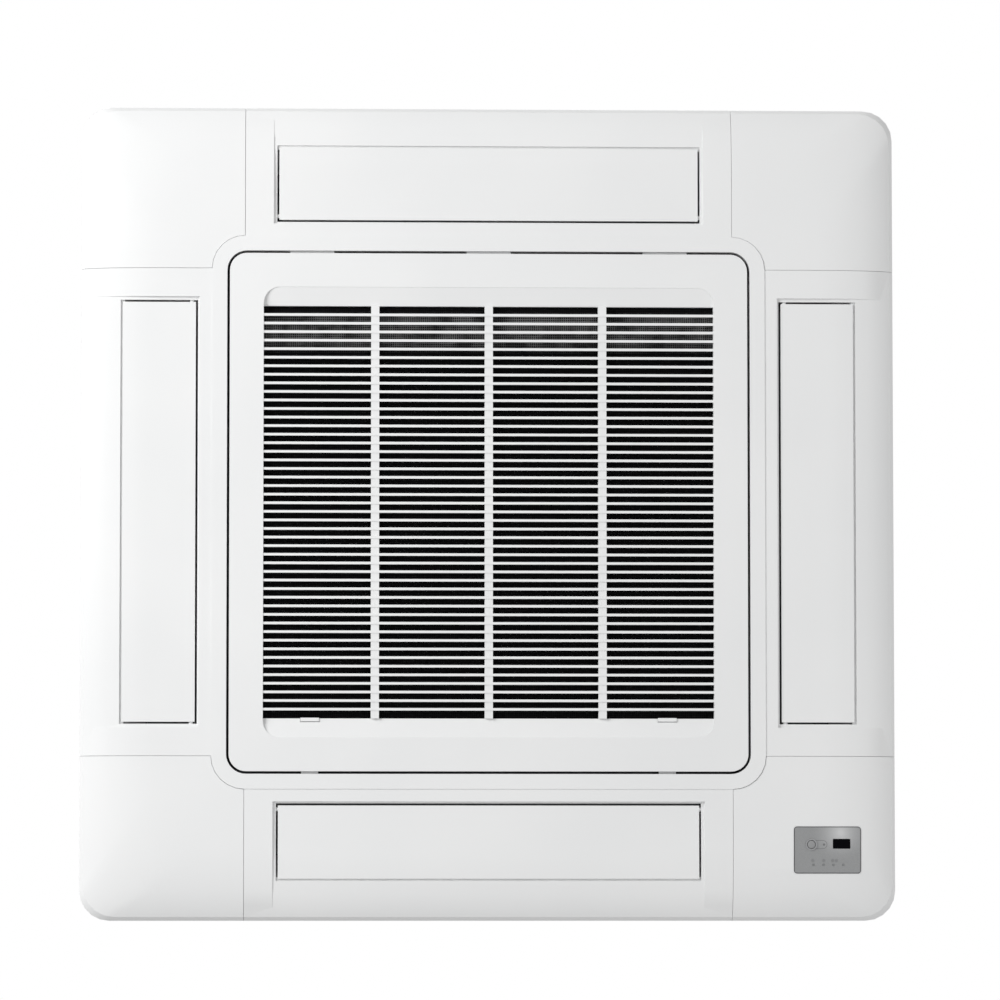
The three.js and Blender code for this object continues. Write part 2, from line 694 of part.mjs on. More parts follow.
function louver() {
  const inner = outletInner + louverGap;
  const outer = outletOuter - louverGap;
  const hubTop = pivot.z + pivotHub;
  const back = [
    [-outer, scoopHeight(outer) + 2.2],
    [-outer + 16, scoopHeight(outer - 16) + louverThick],
    [pivot.y - 30, scoopHeight(30 - pivot.y) + louverThick],
    [pivot.y - 12, hubTop - 1.4],
    [pivot.y - 5, hubTop],
    [-inner, hubTop - 1],
  ];
  const blade = bar([...scoopLine(inner, outer, 8), ...back], [-louverHalfLength, louverHalfLength]);
  const pinEnd = louverHalfLength + pivotLength;
  return blade.add(rod('x', pivotRadius, [-pinEnd, pinEnd], [pivot.y, pivot.z]));
}

function louverMotor() {
  const axis = pivot.z + motorOffset;
  const flangeEnd = motorSeat + motorFlange;
  const shaftStart = louverHalfLength + pivotLength + fit;
  const flange = block(
    [motorSeat, flangeEnd],
    [pivot.y - motorFlangeHalf, pivot.y + motorFlangeHalf],
    [axis - motorFlangeHeight / 2, axis + motorFlangeHeight / 2],
  );
  const can = rod('x', motorRadius, [flangeEnd - 0.5, flangeEnd + motorLength], [pivot.y, axis], 14);
  const shaft = rod('x', pivotRadius - fit, [shaftStart, flangeEnd], [pivot.y, pivot.z]);
  const lead = block(
    [flangeEnd + 4, flangeEnd + 14], [pivot.y - 7, pivot.y + 7], [axis, axis + motorRadius + 2]);
  return join([flange, can, shaft, lead]);
}

// ---------------------------------------------------------------- intake grille

const slatPlaces = () => Array.from({ length: slatCount }, (_, i) => (i - (slatCount - 1) / 2) * slatPitch);

function grilleSlats() {
  const reach = windowHalf + 1;
  const heights = [grilleFace + slatInset, grilleFace + slatInset + slatDepth];
  return slatPlaces().map((y) => block([-reach, reach], [y - slatWidth / 2, y + slatWidth / 2], heights));
}

function grilleRibs() {
  const front = grilleFace + grilleRibInset;
  const step = grilleFace + stripDrop + 1;
  const half = [[slatField, front], [slatField, step], [slatField + 1, step], [slatField + 1, grilleBack]];
  const mirrored = half.map(([y, z]) => [-y, z]).reverse();
  return [-ribSpacing, 0, ribSpacing].map((x) => bar(
    [...half, ...mirrored], [x - grilleRibWidth / 2, x + grilleRibWidth / 2]));
}

/** One of the two sloping strips beside the slats, drawn for the front. */
function slopingStrip(side) {
  const top = grilleBack - stripInset;
  const outline = [
    [side * (windowHalf + 1), grilleFace + stripReveal],
    [side * slatField, grilleFace + stripDrop],
    [side * slatField, top],
    [side * (windowHalf + 1), top],
  ];
  return bar(outline, [-windowHalf - 1, windowHalf + 1]);
}

function latchGuides() {
  return latchPlaces().map((x) => {
    const half = latchWidth / 2 + 3;
    const sides = [x - half, x + half];
    const guide = block(
      sides, [windowHalf + 20, windowHalf + 27], [latchHeights[0] - 1, latchHeights[1] + 2]);
    const tunnel = block(
      [x - latchWidth / 2 - fit, x + latchWidth / 2 + fit],
      [windowHalf, grilleHalf],
      [below, latchHeights[1] + fit],
    );
    return guide.subtract(tunnel);
  });
}

function latchChannels() {
  const half = latchKnobWidth / 2 + fit;
  return latchPlaces().map((x) => {
    const width = [x - half, x + half];
    const start = slatField - latchTravel - 1;
    const channel = block(width, [start, windowHalf + windowWall + 1], [latchHeights[0] - fit / 2, 0]);
    const notch = block(width, [start, slatField + latchKnobDepth + fit], [below, latchHeights[1]]);
    return channel.add(notch);
  });
}

function intakeGrille() {
  const border = roundedPlate(grilleHalf, grilleCorner, [grilleFace, grilleFace + grilleThick]);
  const walls = roundedPlate(
    windowHalf + windowWall, windowCorner + windowWall, [grilleFace + 1, grilleBack]);
  const window = roundedPlate(windowHalf, windowCorner, [below, cutOver]);
  const frame = border.add(walls).subtract(window);
  const strips = join([slopingStrip(-1), slopingStrip(1)]).intersect(
    roundedPlate(windowHalf + 1, windowCorner + 1, [below, cutOver]));
  const slots = hingePlaces().map((x) => block(
    [x - hingeTabWidth / 2 - fit, x + hingeTabWidth / 2 + fit],
    [-grilleHalf - cutOver, hingeAxis.y + hingeEye + fit + 0.1],
    [grilleFace + hingeSkin, cutOver],
  ));
  const boreRadius = clearBore(hingePinRadius + hingeBoreGap);
  const bores = hingePlaces().map((x) => {
    const reach = hingeTabWidth / 2 + hingePinGrip + fit;
    return rod('x', boreRadius, [x - reach, x + reach], [hingeAxis.y, hingeAxis.z]);
  });
  const whole = join([frame, strips, ...grilleSlats(), ...grilleRibs()]);
  return cut(whole, [...slots, ...bores, ...latchChannels()]).add(join(latchGuides()));
}

const hingePin = () => rod('x', hingePinRadius,
  [-hingeTabWidth / 2 - hingePinGrip, hingeTabWidth / 2 + hingePinGrip], [hingeAxis.y, hingeAxis.z]);

function latch() {
  const slider = block(
    [-latchWidth / 2, latchWidth / 2], [slatField + 1, openingHalf + latchBite], latchHeights);
  const knob = bar([
    [slatField - 0.8, latchHeights[0] - 2.6], [slatField + latchKnobDepth - 0.8, latchHeights[0] - 3.4],
    [slatField + latchKnobDepth, latchHeights[0] - fit], [slatField + latchKnobDepth, latchHeights[1] + 1],
    [slatField - 0.8, latchHeights[1] + 1],
  ], [-latchKnobWidth / 2, latchKnobWidth / 2]);
  return slider.add(knob);
}

function airFilter() {
  const low = grilleBack + fit;
  const heights = [low, low + filterThick];
  const inner = filterHalf - filterBar;
  const frame = roundedPlate(filterHalf, windowCorner, heights).subtract(
    roundedPlate(inner, windowCorner - filterBar, [low - 1, low + filterThick + 1]));
  const sheetLow = low + filterThick / 2 - filterSheet / 2;
  const cloth = roundedPlate(inner + 1, windowCorner - filterBar + 1, [sheetLow, sheetLow + filterSheet]);
  const ribs = [];
  for (let i = 1; i < filterCells; i += 1) {
    const place = inner * (2 * i / filterCells - 1);
    const across = [place - filterRib / 2, place + filterRib / 2];
    ribs.push(block(across, [-inner - 1, inner + 1], [low + 0.8, low + filterThick - 0.8]));
    ribs.push(block([-inner - 1, inner + 1], across, [low + 0.8, low + filterThick - 0.8]));
  }
  return join([frame, cloth, ...ribs]);
}

// ---------------------------------------------------------------- air path

function drainPan() {
  const slots = onFourSides(() => [block(
    [-outletHalfLength, outletHalfLength], [-ductOuter, -ductInner], [0, panTop + 1])]);
  const rebate = roundedPlate(panOpening + bellPlateLap + fit + 0.2, panOpeningCorner + bellPlateLap,
    [0, bellPlateHeight + bellPlateThick + fit]);
  const troughOut = coilOuter + troughMargin[1];
  const troughIn = coilInner - troughMargin[0];
  const trough = roundedPlate(troughOut, coilCorner + troughMargin[1], [troughFloor, panTop + 1]).subtract(
    roundedPlate(troughIn, coilCorner - coilThick - troughMargin[0], [troughFloor - 1, panTop + 2]));
  const sump = [
    disc(pumpRadius + 3, [troughFloor, panTop + 1], pumpPlace),
    disc(16, [troughFloor, panTop + 1], floatPlace),
  ];
  const screws = onFourSides(() => [rod(
    'z', 2 * screwRadius, [0, bodyBottom + 22], [screwPlace, screwPlace])]);
  return cut(bodyPlate(sheet + 0.5, [panBottom, panTop]), [
    ...slots,
    roundedPlate(panOpening, panOpeningCorner, [0, panTop + 1]),
    rebate,
    trough,
    ...sump,
    ...screws,
  ]);
}

const controlY = [flareRadius + 6.5, flareRadius + 6.5 + controlDepth];
const plateHeights = [bellPlateHeight, bellPlateHeight + bellPlateThick];

/** Points of a quarter ellipse that turns from flat to upright. */
function flareLine([r0, z0], [r1, z1], steps) {
  return Array.from({ length: steps + 1 }, (_, i) => {
    const angle = (i / steps) * Math.PI / 2;
    return [r0 + (r1 - r0) * Math.sin(angle), z1 + (z0 - z1) * Math.cos(angle)];
  });
}

function bellMouth() {
  const [low, high] = plateHeights;
  const under = flareLine([flareRadius, low], [throatRadius, flareHeight], 4);
  const over = flareLine(
    [flareRadius + bellPlateThick, high], [throatRadius + bellPlateThick, flareHeight], 4);
  const flare = turned([
    [flareRadius + 3, low], ...under, [throatRadius, throatHeight],
    [throatRadius + bellPlateThick, throatHeight], ...over.reverse(), [flareRadius + 3, high],
  ], 24);
  const square = roundedPlate(panOpening + bellPlateLap, panOpeningCorner + bellPlateLap - 1, plateHeights);
  const throat = disc(flareRadius + 1, [low - 1, high + 1], [0, 0], 24);
  const boxHole = block(
    [-controlHalf - 2, controlHalf + 2], [controlY[0] - 1.5, controlY[1] + 1.5], [low - 1, high + 1]);
  return cut(square, [throat, boxHole]).add(flare);
}

function turboFan() {
  const [domeTop, domeLow] = domeRadius;
  const shaftBore = clearBore(shaftRadius + 0.1, fanSides);
  const hub = turned([
    [fanRadius, fanTop - fanSkin], [fanRadius, fanTop], [domeTop, fanTop], [domeTop - 16, fanTop - 12],
    [domeLow + 4, domeBottom + 8], [domeLow, domeBottom], [shaftBore, domeBottom],
    [shaftBore, hubBottom], [hubRadius, hubBottom], [hubRadius, domeBottom - fanSkin],
    [domeLow + 1, domeBottom - fanSkin], [domeLow + 6.5, domeBottom + 6.5], [domeTop - 13, fanTop - 14],
    [domeTop + 3, fanTop - fanSkin],
  ], fanSides);
  const rise = flareLine([fanRadius, shroudBottom + shroudRise], [shroudInlet, shroudBottom], 4);
  const riseOver = rise.map(([r, z]) => [r - fanSkin / 2, z + fanSkin]);
  const lip = [shroudInlet - 0.8 * fanSkin, shroudBottom];
  const shroud = turned([...rise, lip, ...riseOver.reverse()], fanSides);
  const underShroud = turned([
    [fanRadius + 4, 0], [fanRadius + 4, shroudBottom + shroudRise + 1],
    ...rise.map(([r, z]) => [r, z + fanSkin / 2]), [shroudInlet - 1, 0],
  ], fanSides);
  const first = THREE.MathUtils.degToRad(bladeStart);
  const blades = Array.from({ length: bladeCount }, (_, i) => fanBlade(first + i * 2 * Math.PI / bladeCount));
  const spokes = join(blades).subtract(underShroud);
  return join([hub, shroud, spokes]);
}

/** A backward-leaning blade of airfoil section. */
function fanBlade(start) {
  const steps = 4;
  const sweep = THREE.MathUtils.degToRad(bladeSweep);
  const side = (sign) => Array.from({ length: steps + 1 }, (_, i) => {
    const share = i / steps;
    const out = bladeInner + (fanRadius - 5 - bladeInner) * share;
    const half = bladeThick / 2 * Math.sqrt(Math.sin(Math.PI * (0.08 + 0.84 * share)));
    const angle = start - sweep * share + sign * half / out;
    return new THREE.Vector2(out * Math.cos(angle), out * Math.sin(angle));
  });
  const outline = new THREE.Shape([...side(1), ...side(-1).reverse()]);
  return plate(outline, [shroudBottom + 18, fanTop - fanSkin / 2]);
}

const fanNut = () => {
  const nut = rod('z', 9.5, [hubBottom - fit - 7, hubBottom - fit], [0, 0], 6);
  return nut.subtract(disc(clearBore(shaftRadius + 0.1, 24), [hubBottom - 10, hubBottom + 1]));
};

function fanMotor() {
  const top = fanMotorBottom + fanMotorHeight;
  return turned([
    [0, hubBottom - 13], [shaftRadius - 0.8, hubBottom - 13], [shaftRadius, hubBottom - 12],
    [shaftRadius, fanMotorBottom - 4], [22, fanMotorBottom - 4], [22, fanMotorBottom],
    [motorBodyRadius - 14, fanMotorBottom], [motorBodyRadius - 8, fanMotorBottom + 8],
    [motorBodyRadius, fanMotorBottom + 14], [motorBodyRadius, top - 20], [motorBodyRadius + 8, top - 20],
    [motorBodyRadius + 8, top - 16], [motorBodyRadius, top - 16], [motorBodyRadius - 8, top - 4],
    [motorBodyRadius - 20, top], [0, top],
  ], 24);
}

/** The pressed carrier that hangs the motor from the top plate. */
function motorBracket() {
  const low = fanMotorBottom + fanMotorHeight + fit;
  const high = bodyTop;
  const [bore, seat, bend, rim] = carrierRadii;
  const carrier = turned([
    [bore, low], [seat, low], [bend, high - carrierSheet], [rim, high - carrierSheet], [rim, high],
    [bend - carrierBend, high], [seat - carrierBend, low + carrierSheet], [bore, low + carrierSheet],
  ], 24);
  const windows = Array.from({ length: 4 }, (_, i) => {
    const angle = Math.PI / 4 + i * Math.PI / 2;
    const [place, radius] = carrierWindow;
    return disc(radius, [low - 1, high + 1], [place * Math.cos(angle), place * Math.sin(angle)], 10);
  });
  return cut(carrier, windows);
}

// ---------------------------------------------------------------- drain

const cornerSum = 2 * bodyHalf - bodyCut; // x + y on a corner face of the body
const cornerFace = cornerSum / Math.SQRT2; // middle of the body to a corner face
const coilReach = coilOuter - coilCorner * (1 - Math.SQRT1_2);
const linerReach = (cornerSum - (sheet + fit + linerThick) * Math.SQRT2) / 2;
const pumpReach = (coilReach + linerReach) / 2;
const floatShift = 28; // float, sideways from the pump
const pumpPlace = [-pumpReach, -pumpReach];
const floatPlace = [-pumpReach - floatShift, -pumpReach + floatShift];

/** Builds solids in the frame of a corner face: Y out of the face, X along it. */
function atCorner([signX, signY], build) {
  sideTurn = Math.atan2(signY, signX) - Math.PI / 2;
  const body = build();
  sideTurn = 0;
  return body;
}

/** A point of a corner face's frame in the whole object's frame. */
function cornerPoint([signX, signY], [x, y, z]) {
  const turn = Math.atan2(signY, signX) - Math.PI / 2;
  return new THREE.Vector3(x, y, z).applyAxisAngle(new THREE.Vector3(0, 0, 1), turn);
}

const pipeCorner = [1, -1];
const drainCorner = [-1, -1];
const pumpHeights = [troughFloor + fit, troughFloor + 65, troughFloor + 105];
const floatStem = 2.2;
const floatBottom = troughFloor + 13;

function drainPump() {
  const stemTop = floatBottom + floatHeight + floatTravel + floatArmRise;
  const hose = new THREE.CatmullRomCurve3([
    new THREE.Vector3(...pumpPlace, pumpHeights[2] - 4),
    new THREE.Vector3(...pumpPlace, pumpHeights[2] + 34),
    cornerPoint(drainCorner, [-serviceShift, cornerFace - 62, drainHeight]),
    cornerPoint(drainCorner, [-serviceShift, cornerFace - 26, drainHeight]),
  ]);
  const arm = new THREE.LineCurve3(
    new THREE.Vector3(...pumpPlace, stemTop - 3), new THREE.Vector3(...floatPlace, stemTop - 3));
  return join([
    disc(pumpRadius, [pumpHeights[0], pumpHeights[1]], pumpPlace),
    disc(pumpRadius - 5, [pumpHeights[1] - 1, pumpHeights[2]], pumpPlace),
    swept(hose, 9, 9),
    swept(arm, 3, 1, 6),
    disc(floatStem, [floatBottom - 3.3, stemTop], floatPlace, 10),
    disc(5, [floatBottom - 3.3, floatBottom - fit], floatPlace, 12),
  ]);
}

const drainFloat = () => turned([
  [clearBore(floatStem + fit), floatBottom], [10, floatBottom],
  [11, floatBottom + 1.5], [11, floatBottom + floatHeight - 1.5],
  [10, floatBottom + floatHeight], [clearBore(floatStem + fit), floatBottom + floatHeight],
], 16, floatPlace);

function drainOutlet() {
  return atCorner(drainCorner, () => {
    const centre = [-serviceShift, drainHeight];
    const seat = cornerFace + fit;
    const tube = rod('y', drainRadius, [cornerFace - 32, cornerFace + drainReach], centre, 16);
    const flange = rod('y', drainRadius + 6, [seat, seat + 3], centre, 16);
    return tube.add(flange).subtract(rod('y', drainBore, [0, 2 * cornerFace], centre, 16));
  });
}

// ---------------------------------------------------------------- heat exchanger and pipes

const coilEnd = coilOuter - coilCut;
const coilHeights = [troughFloor + fit, bodyTop];

function coil() {
  const outer = roundedPlate(coilOuter, coilCorner, coilHeights);
  const inner = roundedPlate(coilInner, coilCorner - coilThick, [0, bodyTop + 1]);
  const open = block([coilEnd, bodyHalf], [-bodyHalf, -coilEnd], [0, bodyTop + 1]);
  return cut(outer, [inner, open]);
}

const coilEndPlate = () => block(
  [coilInner - 2, coilOuter + 2], [-coilEnd - fit - sheet, -coilEnd - fit], coilHeights);

function coilClosingPlate() {
  const near = coilEnd + fit;
  const far = near + sheet;
  const lean = sheet * Math.SQRT2;
  const edge = -far - fit;
  const outline = [
    [near, -coilOuter - 4], [far, -coilOuter - 4], [far, -coilInner],
    [coilInner, edge], [coilInner - lean, edge], [near, -coilInner + lean / 2],
  ];
  const shape = new THREE.Shape(outline.map(([x, y]) => new THREE.Vector2(x, y)));
  return plate(shape, [panTop + fit, bodyTop]);
}

function refrigerantPipe(radius, height) {
  const end = cornerPoint(pipeCorner, [serviceShift, cornerFace + pipeReach, height]);
  const run = end.x - coilEnd - 31;
  const bend = new THREE.Vector3(end.x - run, end.y + run, height);
  const outward = new THREE.Vector3(1, -1, 0).normalize();
  const path = new THREE.CatmullRomCurve3([
    new THREE.Vector3(coilEnd + 2 * fit + sheet, bend.y, height),
    new THREE.Vector3(bend.x - 12, bend.y, height),
    bend.clone().addScaledVector(outward, 12),
    end.clone().addScaledVector(outward, -30),
    end,
  ]);
  return swept(path, radius, 12);
}

function flareNut([half, length], radius, height) {
  return atCorner(pipeCorner, () => {
    const end = cornerFace + pipeReach;
    const centre = [serviceShift, height];
    const hex = rod('y', half / Math.cos(Math.PI / 6), [end - length, end - length * 0.35], centre, 6);
    const collar = rod('y', half * 0.86, [end - length * 0.36, end - 1], centre, 16);
    return hex.add(collar).subtract(rod('y', clearBore(radius + fit, 16), [0, end + 5], centre, 16));
  });
}

/** The hole in casing and liner where both pipes come out. */
function pipeWindow(margin) {
  return atCorner(pipeCorner, () => {
    const [width, height] = coverPlateSize;
    const middle = (gasHeight + liquidHeight) / 2;
    const half = width / 2 - 8 - margin;
    const rise = height / 2 - 8 - margin;
    return block([serviceShift - half, serviceShift + half],
      [cornerFace - 30, cornerFace + 5], [middle - rise, middle + rise]);
  });
}

function pipeCoverPlate() {
  return atCorner(pipeCorner, () => {
    const [width, height] = coverPlateSize;
    const middle = (gasHeight + liquidHeight) / 2;
    const seat = [cornerFace + fit, cornerFace + fit + sheet];
    const cover = block([serviceShift - width / 2, serviceShift + width / 2], seat,
      [middle - height / 2, middle + height / 2]);
    const holes = [[gasRadius, gasHeight], [liquidRadius, liquidHeight]].map(([radius, z]) => rod(
      'y', clearBore(radius + fit, 16), [cornerFace - 5, cornerFace + 9], [serviceShift, z], 16));
    return cut(cover, holes);
  });
}

// ---------------------------------------------------------------- body

const rodX = (rodPitch[0] - rodPitch[1]) / (2 * Math.SQRT2);
const rodY = (rodPitch[0] + rodPitch[1]) / (2 * Math.SQRT2);
const bodyCorners = [[1, 1], [-1, 1], [-1, -1], [1, -1]];
const glandHole = (radius) => rod('x', radius, [-bodyHalf - 9, -bodyHalf + 40], glandPlace, 16);
const drainHole = (radius) => atCorner(drainCorner, () => rod(
  'y', radius, [cornerFace - 40, cornerFace + 5], [-serviceShift, drainHeight], 20));

function sideCasing() {
  const wall = bodyPlate(0, [bodyBottom, bodyTop]);
  const inside = bodyPlate(sheet, [bodyBottom + sheet, bodyTop - sheet]);
  const lowerMouth = bodyPlate(sheet + casingFlange, [0, bodyBottom + 2 * sheet]);
  const upperMouth = bodyPlate(sheet + casingTopFlange, [bodyTop - 2 * sheet, bodyTop + 1]);
  const gussets = bodyCorners.map((corner) => atCorner(corner, () => block(
    [-bodyCut / 2, bodyCut / 2], [cornerFace - casingCornerFlange, cornerFace - sheet / 2],
    [bodyBottom, bodyBottom + sheet])));
  const beadHeights = [bodyBottom + 50, bodyTop - 32];
  const straight = bodyHalf - bodyCut - 12;
  const beads = onFourSides(() => beadHeights.map((z) => block(
    [-straight, straight], [-bodyHalf - beadDepth, -bodyHalf + sheet / 2], [z, z + beadHeight])));
  const knockOut = rod('y', freshAirRadius, [bodyHalf - 0.5, bodyHalf + beadDepth], [0, freshAirHeight], 24)
    .subtract(rod('y', freshAirRadius - 3, [bodyHalf, bodyHalf + 5], [0, freshAirHeight], 24));
  const screws = onFourSides(() => [rod(
    'z', clearBore(screwRadius + fit), [0, 5], [screwPlace, screwPlace])]);
  const shell = cut(wall, [inside, lowerMouth, upperMouth]);
  return cut(join([shell, ...gussets, ...beads, knockOut]), [
    ...screws, pipeWindow(0), drainHole(drainRadius + fit), glandHole(clearBore(glandRadius + fit, 16)),
  ]);
}

function foamLiner() {
  const ring = bodyPlate(sheet + fit, [panTop + fit, bodyTop - sheet - fit]);
  return cut(ring, [
    bodyPlate(sheet + fit + linerThick, [0, bodyTop]),
    pipeWindow(1), drainHole(drainRadius + 1), glandHole(15),
  ]);
}

function topPlate() {
  const [low, high] = [bodyTop + fit, bodyTop + fit + sheet];
  const beadHeights = [high - 0.5, high + topBeadRise];
  const over = high + 2 * topBeadRise;
  const bandHalf = bodyHalf - beadInset;
  const band = roundedPlate(bandHalf, beadCorner, beadHeights).subtract(
    roundedPlate(bandHalf - beadWidth, beadCorner - beadWidth, [low, over]));
  const motorRing = disc(motorBeadRadius, beadHeights, [0, 0], 24).subtract(
    disc(motorBeadRadius - beadWidth, [high, over], [0, 0], 24));
  const spokes = onFourSides(() => [block([-spokeBeadHalf, spokeBeadHalf],
    [-bandHalf + beadWidth / 2, -motorBeadRadius + beadWidth / 2], beadHeights)]);
  return join([bodyPlate(0, [low, high]), band, motorRing, ...spokes]);
}

function hangerBracket(corner) {
  const centre = rodX * corner[0] * corner[1];
  return atCorner(corner, () => {
    const width = [centre - bracketWidth / 2, centre + bracketWidth / 2];
    const seat = cornerFace + fit;
    const back = block(width, [seat, seat + bracketSheet], [bracketFoot, bracketFoot + bracketHeight]);
    const foot = block(width, [seat, seat + bracketReach], [bracketFoot, bracketFoot + bracketSheet]);
    const gussets = [width[0], width[1] - bracketSheet].map((x) => bar([
      [seat, bracketFoot + 1], [seat + bracketReach - 4, bracketFoot + 1], [seat, bracketFoot + 44],
    ], [x, x + bracketSheet]));
    const slot = plate(roundedShape(rodSlot[0] / 2, rodSlot[1] / 2, rodSlot[0] / 2 - 0.01, [centre, rodY]),
      [bracketFoot - 1, bracketFoot + 5], 2);
    return join([back, foot, ...gussets]).subtract(slot);
  });
}

function cableGland() {
  const [y, z] = glandPlace;
  const seat = -bodyHalf - fit;
  const innerSeat = -bodyHalf + sheet + fit;
  return join([
    rod('x', glandRadius + 4.5, [seat - 8, seat], [y, z], 6),
    rod('x', glandRadius + 1, [seat - 16, seat - 7.5], [y, z], 16),
    rod('x', glandRadius, [seat - 1, innerSeat + 12], [y, z], 16),
    rod('x', glandRadius + 3.5, [innerSeat, innerSeat + 5], [y, z], 6),
  ]).subtract(rod('x', 5, [-2 * bodyHalf, 0], [y, z], 12));
}

// ---------------------------------------------------------------- control gear under the bell-mouth plate

const boxWall = 1.2;
const boxFlange = 8;

function controlBox() {
  const [y0, y1] = controlY;
  const seat = plateHeights[1] + fit;
  const outer = block([-controlHalf, controlHalf], controlY, [controlBottom, controlTop]);
  const flange = block([-controlHalf - boxFlange, controlHalf + boxFlange], controlY, [seat, seat + boxWall]);
  const inner = block([-controlHalf + boxWall, controlHalf - boxWall],
    [y0 + boxWall, y1 - boxWall], [controlBottom - 1, controlTop - boxWall]);
  const cableHole = rod('x', 7, [controlHalf - 5, controlHalf + 5], [(y0 + y1) / 2, 0], 12);
  return cut(outer.add(flange), [inner, cableHole]);
}

function controlBoxCover() {
  const [y0, y1] = controlY;
  const outer = fit + boxWall;
  const lid = block([-controlHalf - outer, controlHalf + outer], [y0 - outer, y1 + outer],
    [controlBottom - fit - boxWall, controlBottom + 6]);
  const room = block([-controlHalf - fit, controlHalf + fit], [y0 - fit, y1 + fit],
    [controlBottom - fit, controlBottom + 7]);
  return lid.subtract(room);
}

function controlBoard() {
  const [y0, y1] = controlY;
  const middle = (y0 + y1) / 2;
  const top = controlTop - boxWall - fit;
  const board = [top - 9.4, top - 7.8];
  const down = (depth) => [board[0] - depth, board[0] + 0.5];
  const part = (x, y, halfX, halfY, depth) => block(
    [x - halfX, x + halfX], [y - halfY, y + halfY], down(depth));
  const capacitor = (x, y, radius, depth) => disc(radius, down(depth), [x, y], 14);
  const posts = [-1, 1].flatMap((i) => [-1, 1].map((j) => disc(
    2.5, [board[1] - 0.5, top], [i * (controlHalf - 20), middle + j * (controlDepth / 2 - 10)], 10)));
  const relays = [0, 1, 2].map((i) => part(-34 + i * 19, middle - 12, 7.5, 6.5, 12));
  const sockets = [0, 1, 2, 3].map((i) => part(44 + i * 21, middle + 16, 8.5, 4, 8));
  return join([
    block([-controlHalf + 12, controlHalf - 12], [y0 + 5, y1 - 5], board),
    ...posts, ...relays, ...sockets,
    ...boardBlocks.map(([x, y, halfX, halfY, depth]) => part(x, middle + y, halfX, halfY, depth)),
    ...boardCapacitors.map(([x, y, radius, depth]) => capacitor(x, middle + y, radius, depth)),
  ]);
}

function terminalBlock() {
  const [x0, y0] = [176, flareRadius + 18];
  const [length, depth] = [60, 26];
  const top = bellPlateHeight - fit;
  const body = block([x0, x0 + length], [y0, y0 + depth], [top - 13, top]);
  const ways = 5;
  const cells = Array.from({ length: ways }, (_, i) => {
    const x = x0 + length * (i + 0.5) / ways;
    return block([x - 4.8, x + 4.8], [y0 + 3, y0 + depth - 3], [top - 14, top - 9]);
  });
  const screws = Array.from({ length: ways }, (_, i) => disc(
    3.4, [top - 10, top - 7], [x0 + length * (i + 0.5) / ways, y0 + depth / 2], 10));
  return join([cut(body, cells), ...screws]);
}

function airSensor() {
  const [x, y] = [-panOpening + 42, -panOpening + 72];
  const top = bellPlateHeight - fit;
  return join([
    block([x - 8, x + 8], [y - 5, y + 5], [top - 3, top]),
    block([x - 3, x + 3], [y - 4, y + 4], [top - 11, top - 2]),
    rod('y', 2.8, [y - 9, y + 9], [x, top - 9], 10),
  ]);
}

// ---------------------------------------------------------------- assembly

const finish = (color, roughness, metalness = 0) => new THREE.MeshStandardMaterial(
  { color, roughness, metalness });
const finishes = {
  whitePlastic: finish(0xf0f1f1, 0.42),
  innerPlastic: finish(0xd9dbdb, 0.5),
  silver: finish(0xb4b6b8, 0.34, 0.5),
  blackPlastic: finish(0x17181a, 0.3),
  darkPlastic: finish(0x2c2e31, 0.55),
  steel: finish(0xb9bdc0, 0.38, 0.9),
  galvanised: finish(0xa9afb2, 0.45, 0.8),
  foam: finish(0xeeeeea, 0.95),
  darkFoam: finish(0x3a3b3c, 0.95),
  aluminium: finish(0xc6cacc, 0.4, 0.9),
  copper: finish(0xb4693e, 0.35, 0.9),
  brass: finish(0xc09a4a, 0.32, 0.9),
  board: finish(0x1d5a35, 0.5),
  clear: finish(0xe4efe8, 0.15),
};

const cassette = new THREE.Group();

/** Adds a solid to the object as a named piece and returns its mesh. */
function add(name, body, look, group = cassette) {
  const mesh = new THREE.Mesh(geometryOf(body), finishes[look]);
  mesh.name = name;
  group.add(mesh);
  return mesh;
}

const sideNames = ['front', 'right', 'back', 'left'];
const cornerNames = ['back_right', 'back_left', 'front_left', 'front_right'];

add('panel_frame', panelFrame(), 'whitePlastic');
const cover = cornerCover();
cornerNames.forEach((name, i) => {
  const body = i === 0 ? displayCover() : cover;
  add(`corner_cover_${name}`, body, 'whitePlastic').rotation.z = i * Math.PI / 2;
});
const screw = panelScrew();
cornerNames.forEach((name, i) => {
  add(`panel_screw_${name}`, screw, 'steel').rotation.z = i * Math.PI / 2;
});
const blade = louver();
const motor = louverMotor();
sideNames.forEach((name, i) => {
  add(`louver_${name}`, blade, 'whitePlastic').rotation.z = i * Math.PI / 2;
  add(`louver_motor_${name}`, motor, 'steel').rotation.z = i * Math.PI / 2;
});
add('panel_seal', panelSeal(), 'darkFoam');

add('display_plate', displayPlate(), 'silver');
add('display_window', displayWindow(), 'blackPlastic');
add('run_button', runButton(), 'silver');
add('indicator_lens', indicatorLens(), 'clear');
add('display_board', displayBoard(), 'board');

add('intake_grille', intakeGrille(), 'whitePlastic');
add('air_filter', airFilter(), 'darkPlastic');
const pin = hingePin();
['left', 'middle', 'right'].forEach((name, i) => {
  add(`hinge_pin_${name}`, pin, 'steel').position.x = hingePlaces()[i];
});
const slider = latch();
['left', 'right'].forEach((name, i) => {
  add(`grille_latch_${name}`, slider, 'whitePlastic').position.x = latchPlaces()[i];
});

add('bell_mouth', bellMouth(), 'galvanised');
add('turbo_fan', turboFan(), 'innerPlastic');
add('fan_nut', fanNut(), 'brass');
add('fan_motor', fanMotor(), 'steel');
add('motor_bracket', motorBracket(), 'galvanised');

add('drain_pan', drainPan(), 'foam');
add('drain_pump', drainPump(), 'innerPlastic');
add('drain_float', drainFloat(), 'darkPlastic');
add('drain_outlet', drainOutlet(), 'innerPlastic');

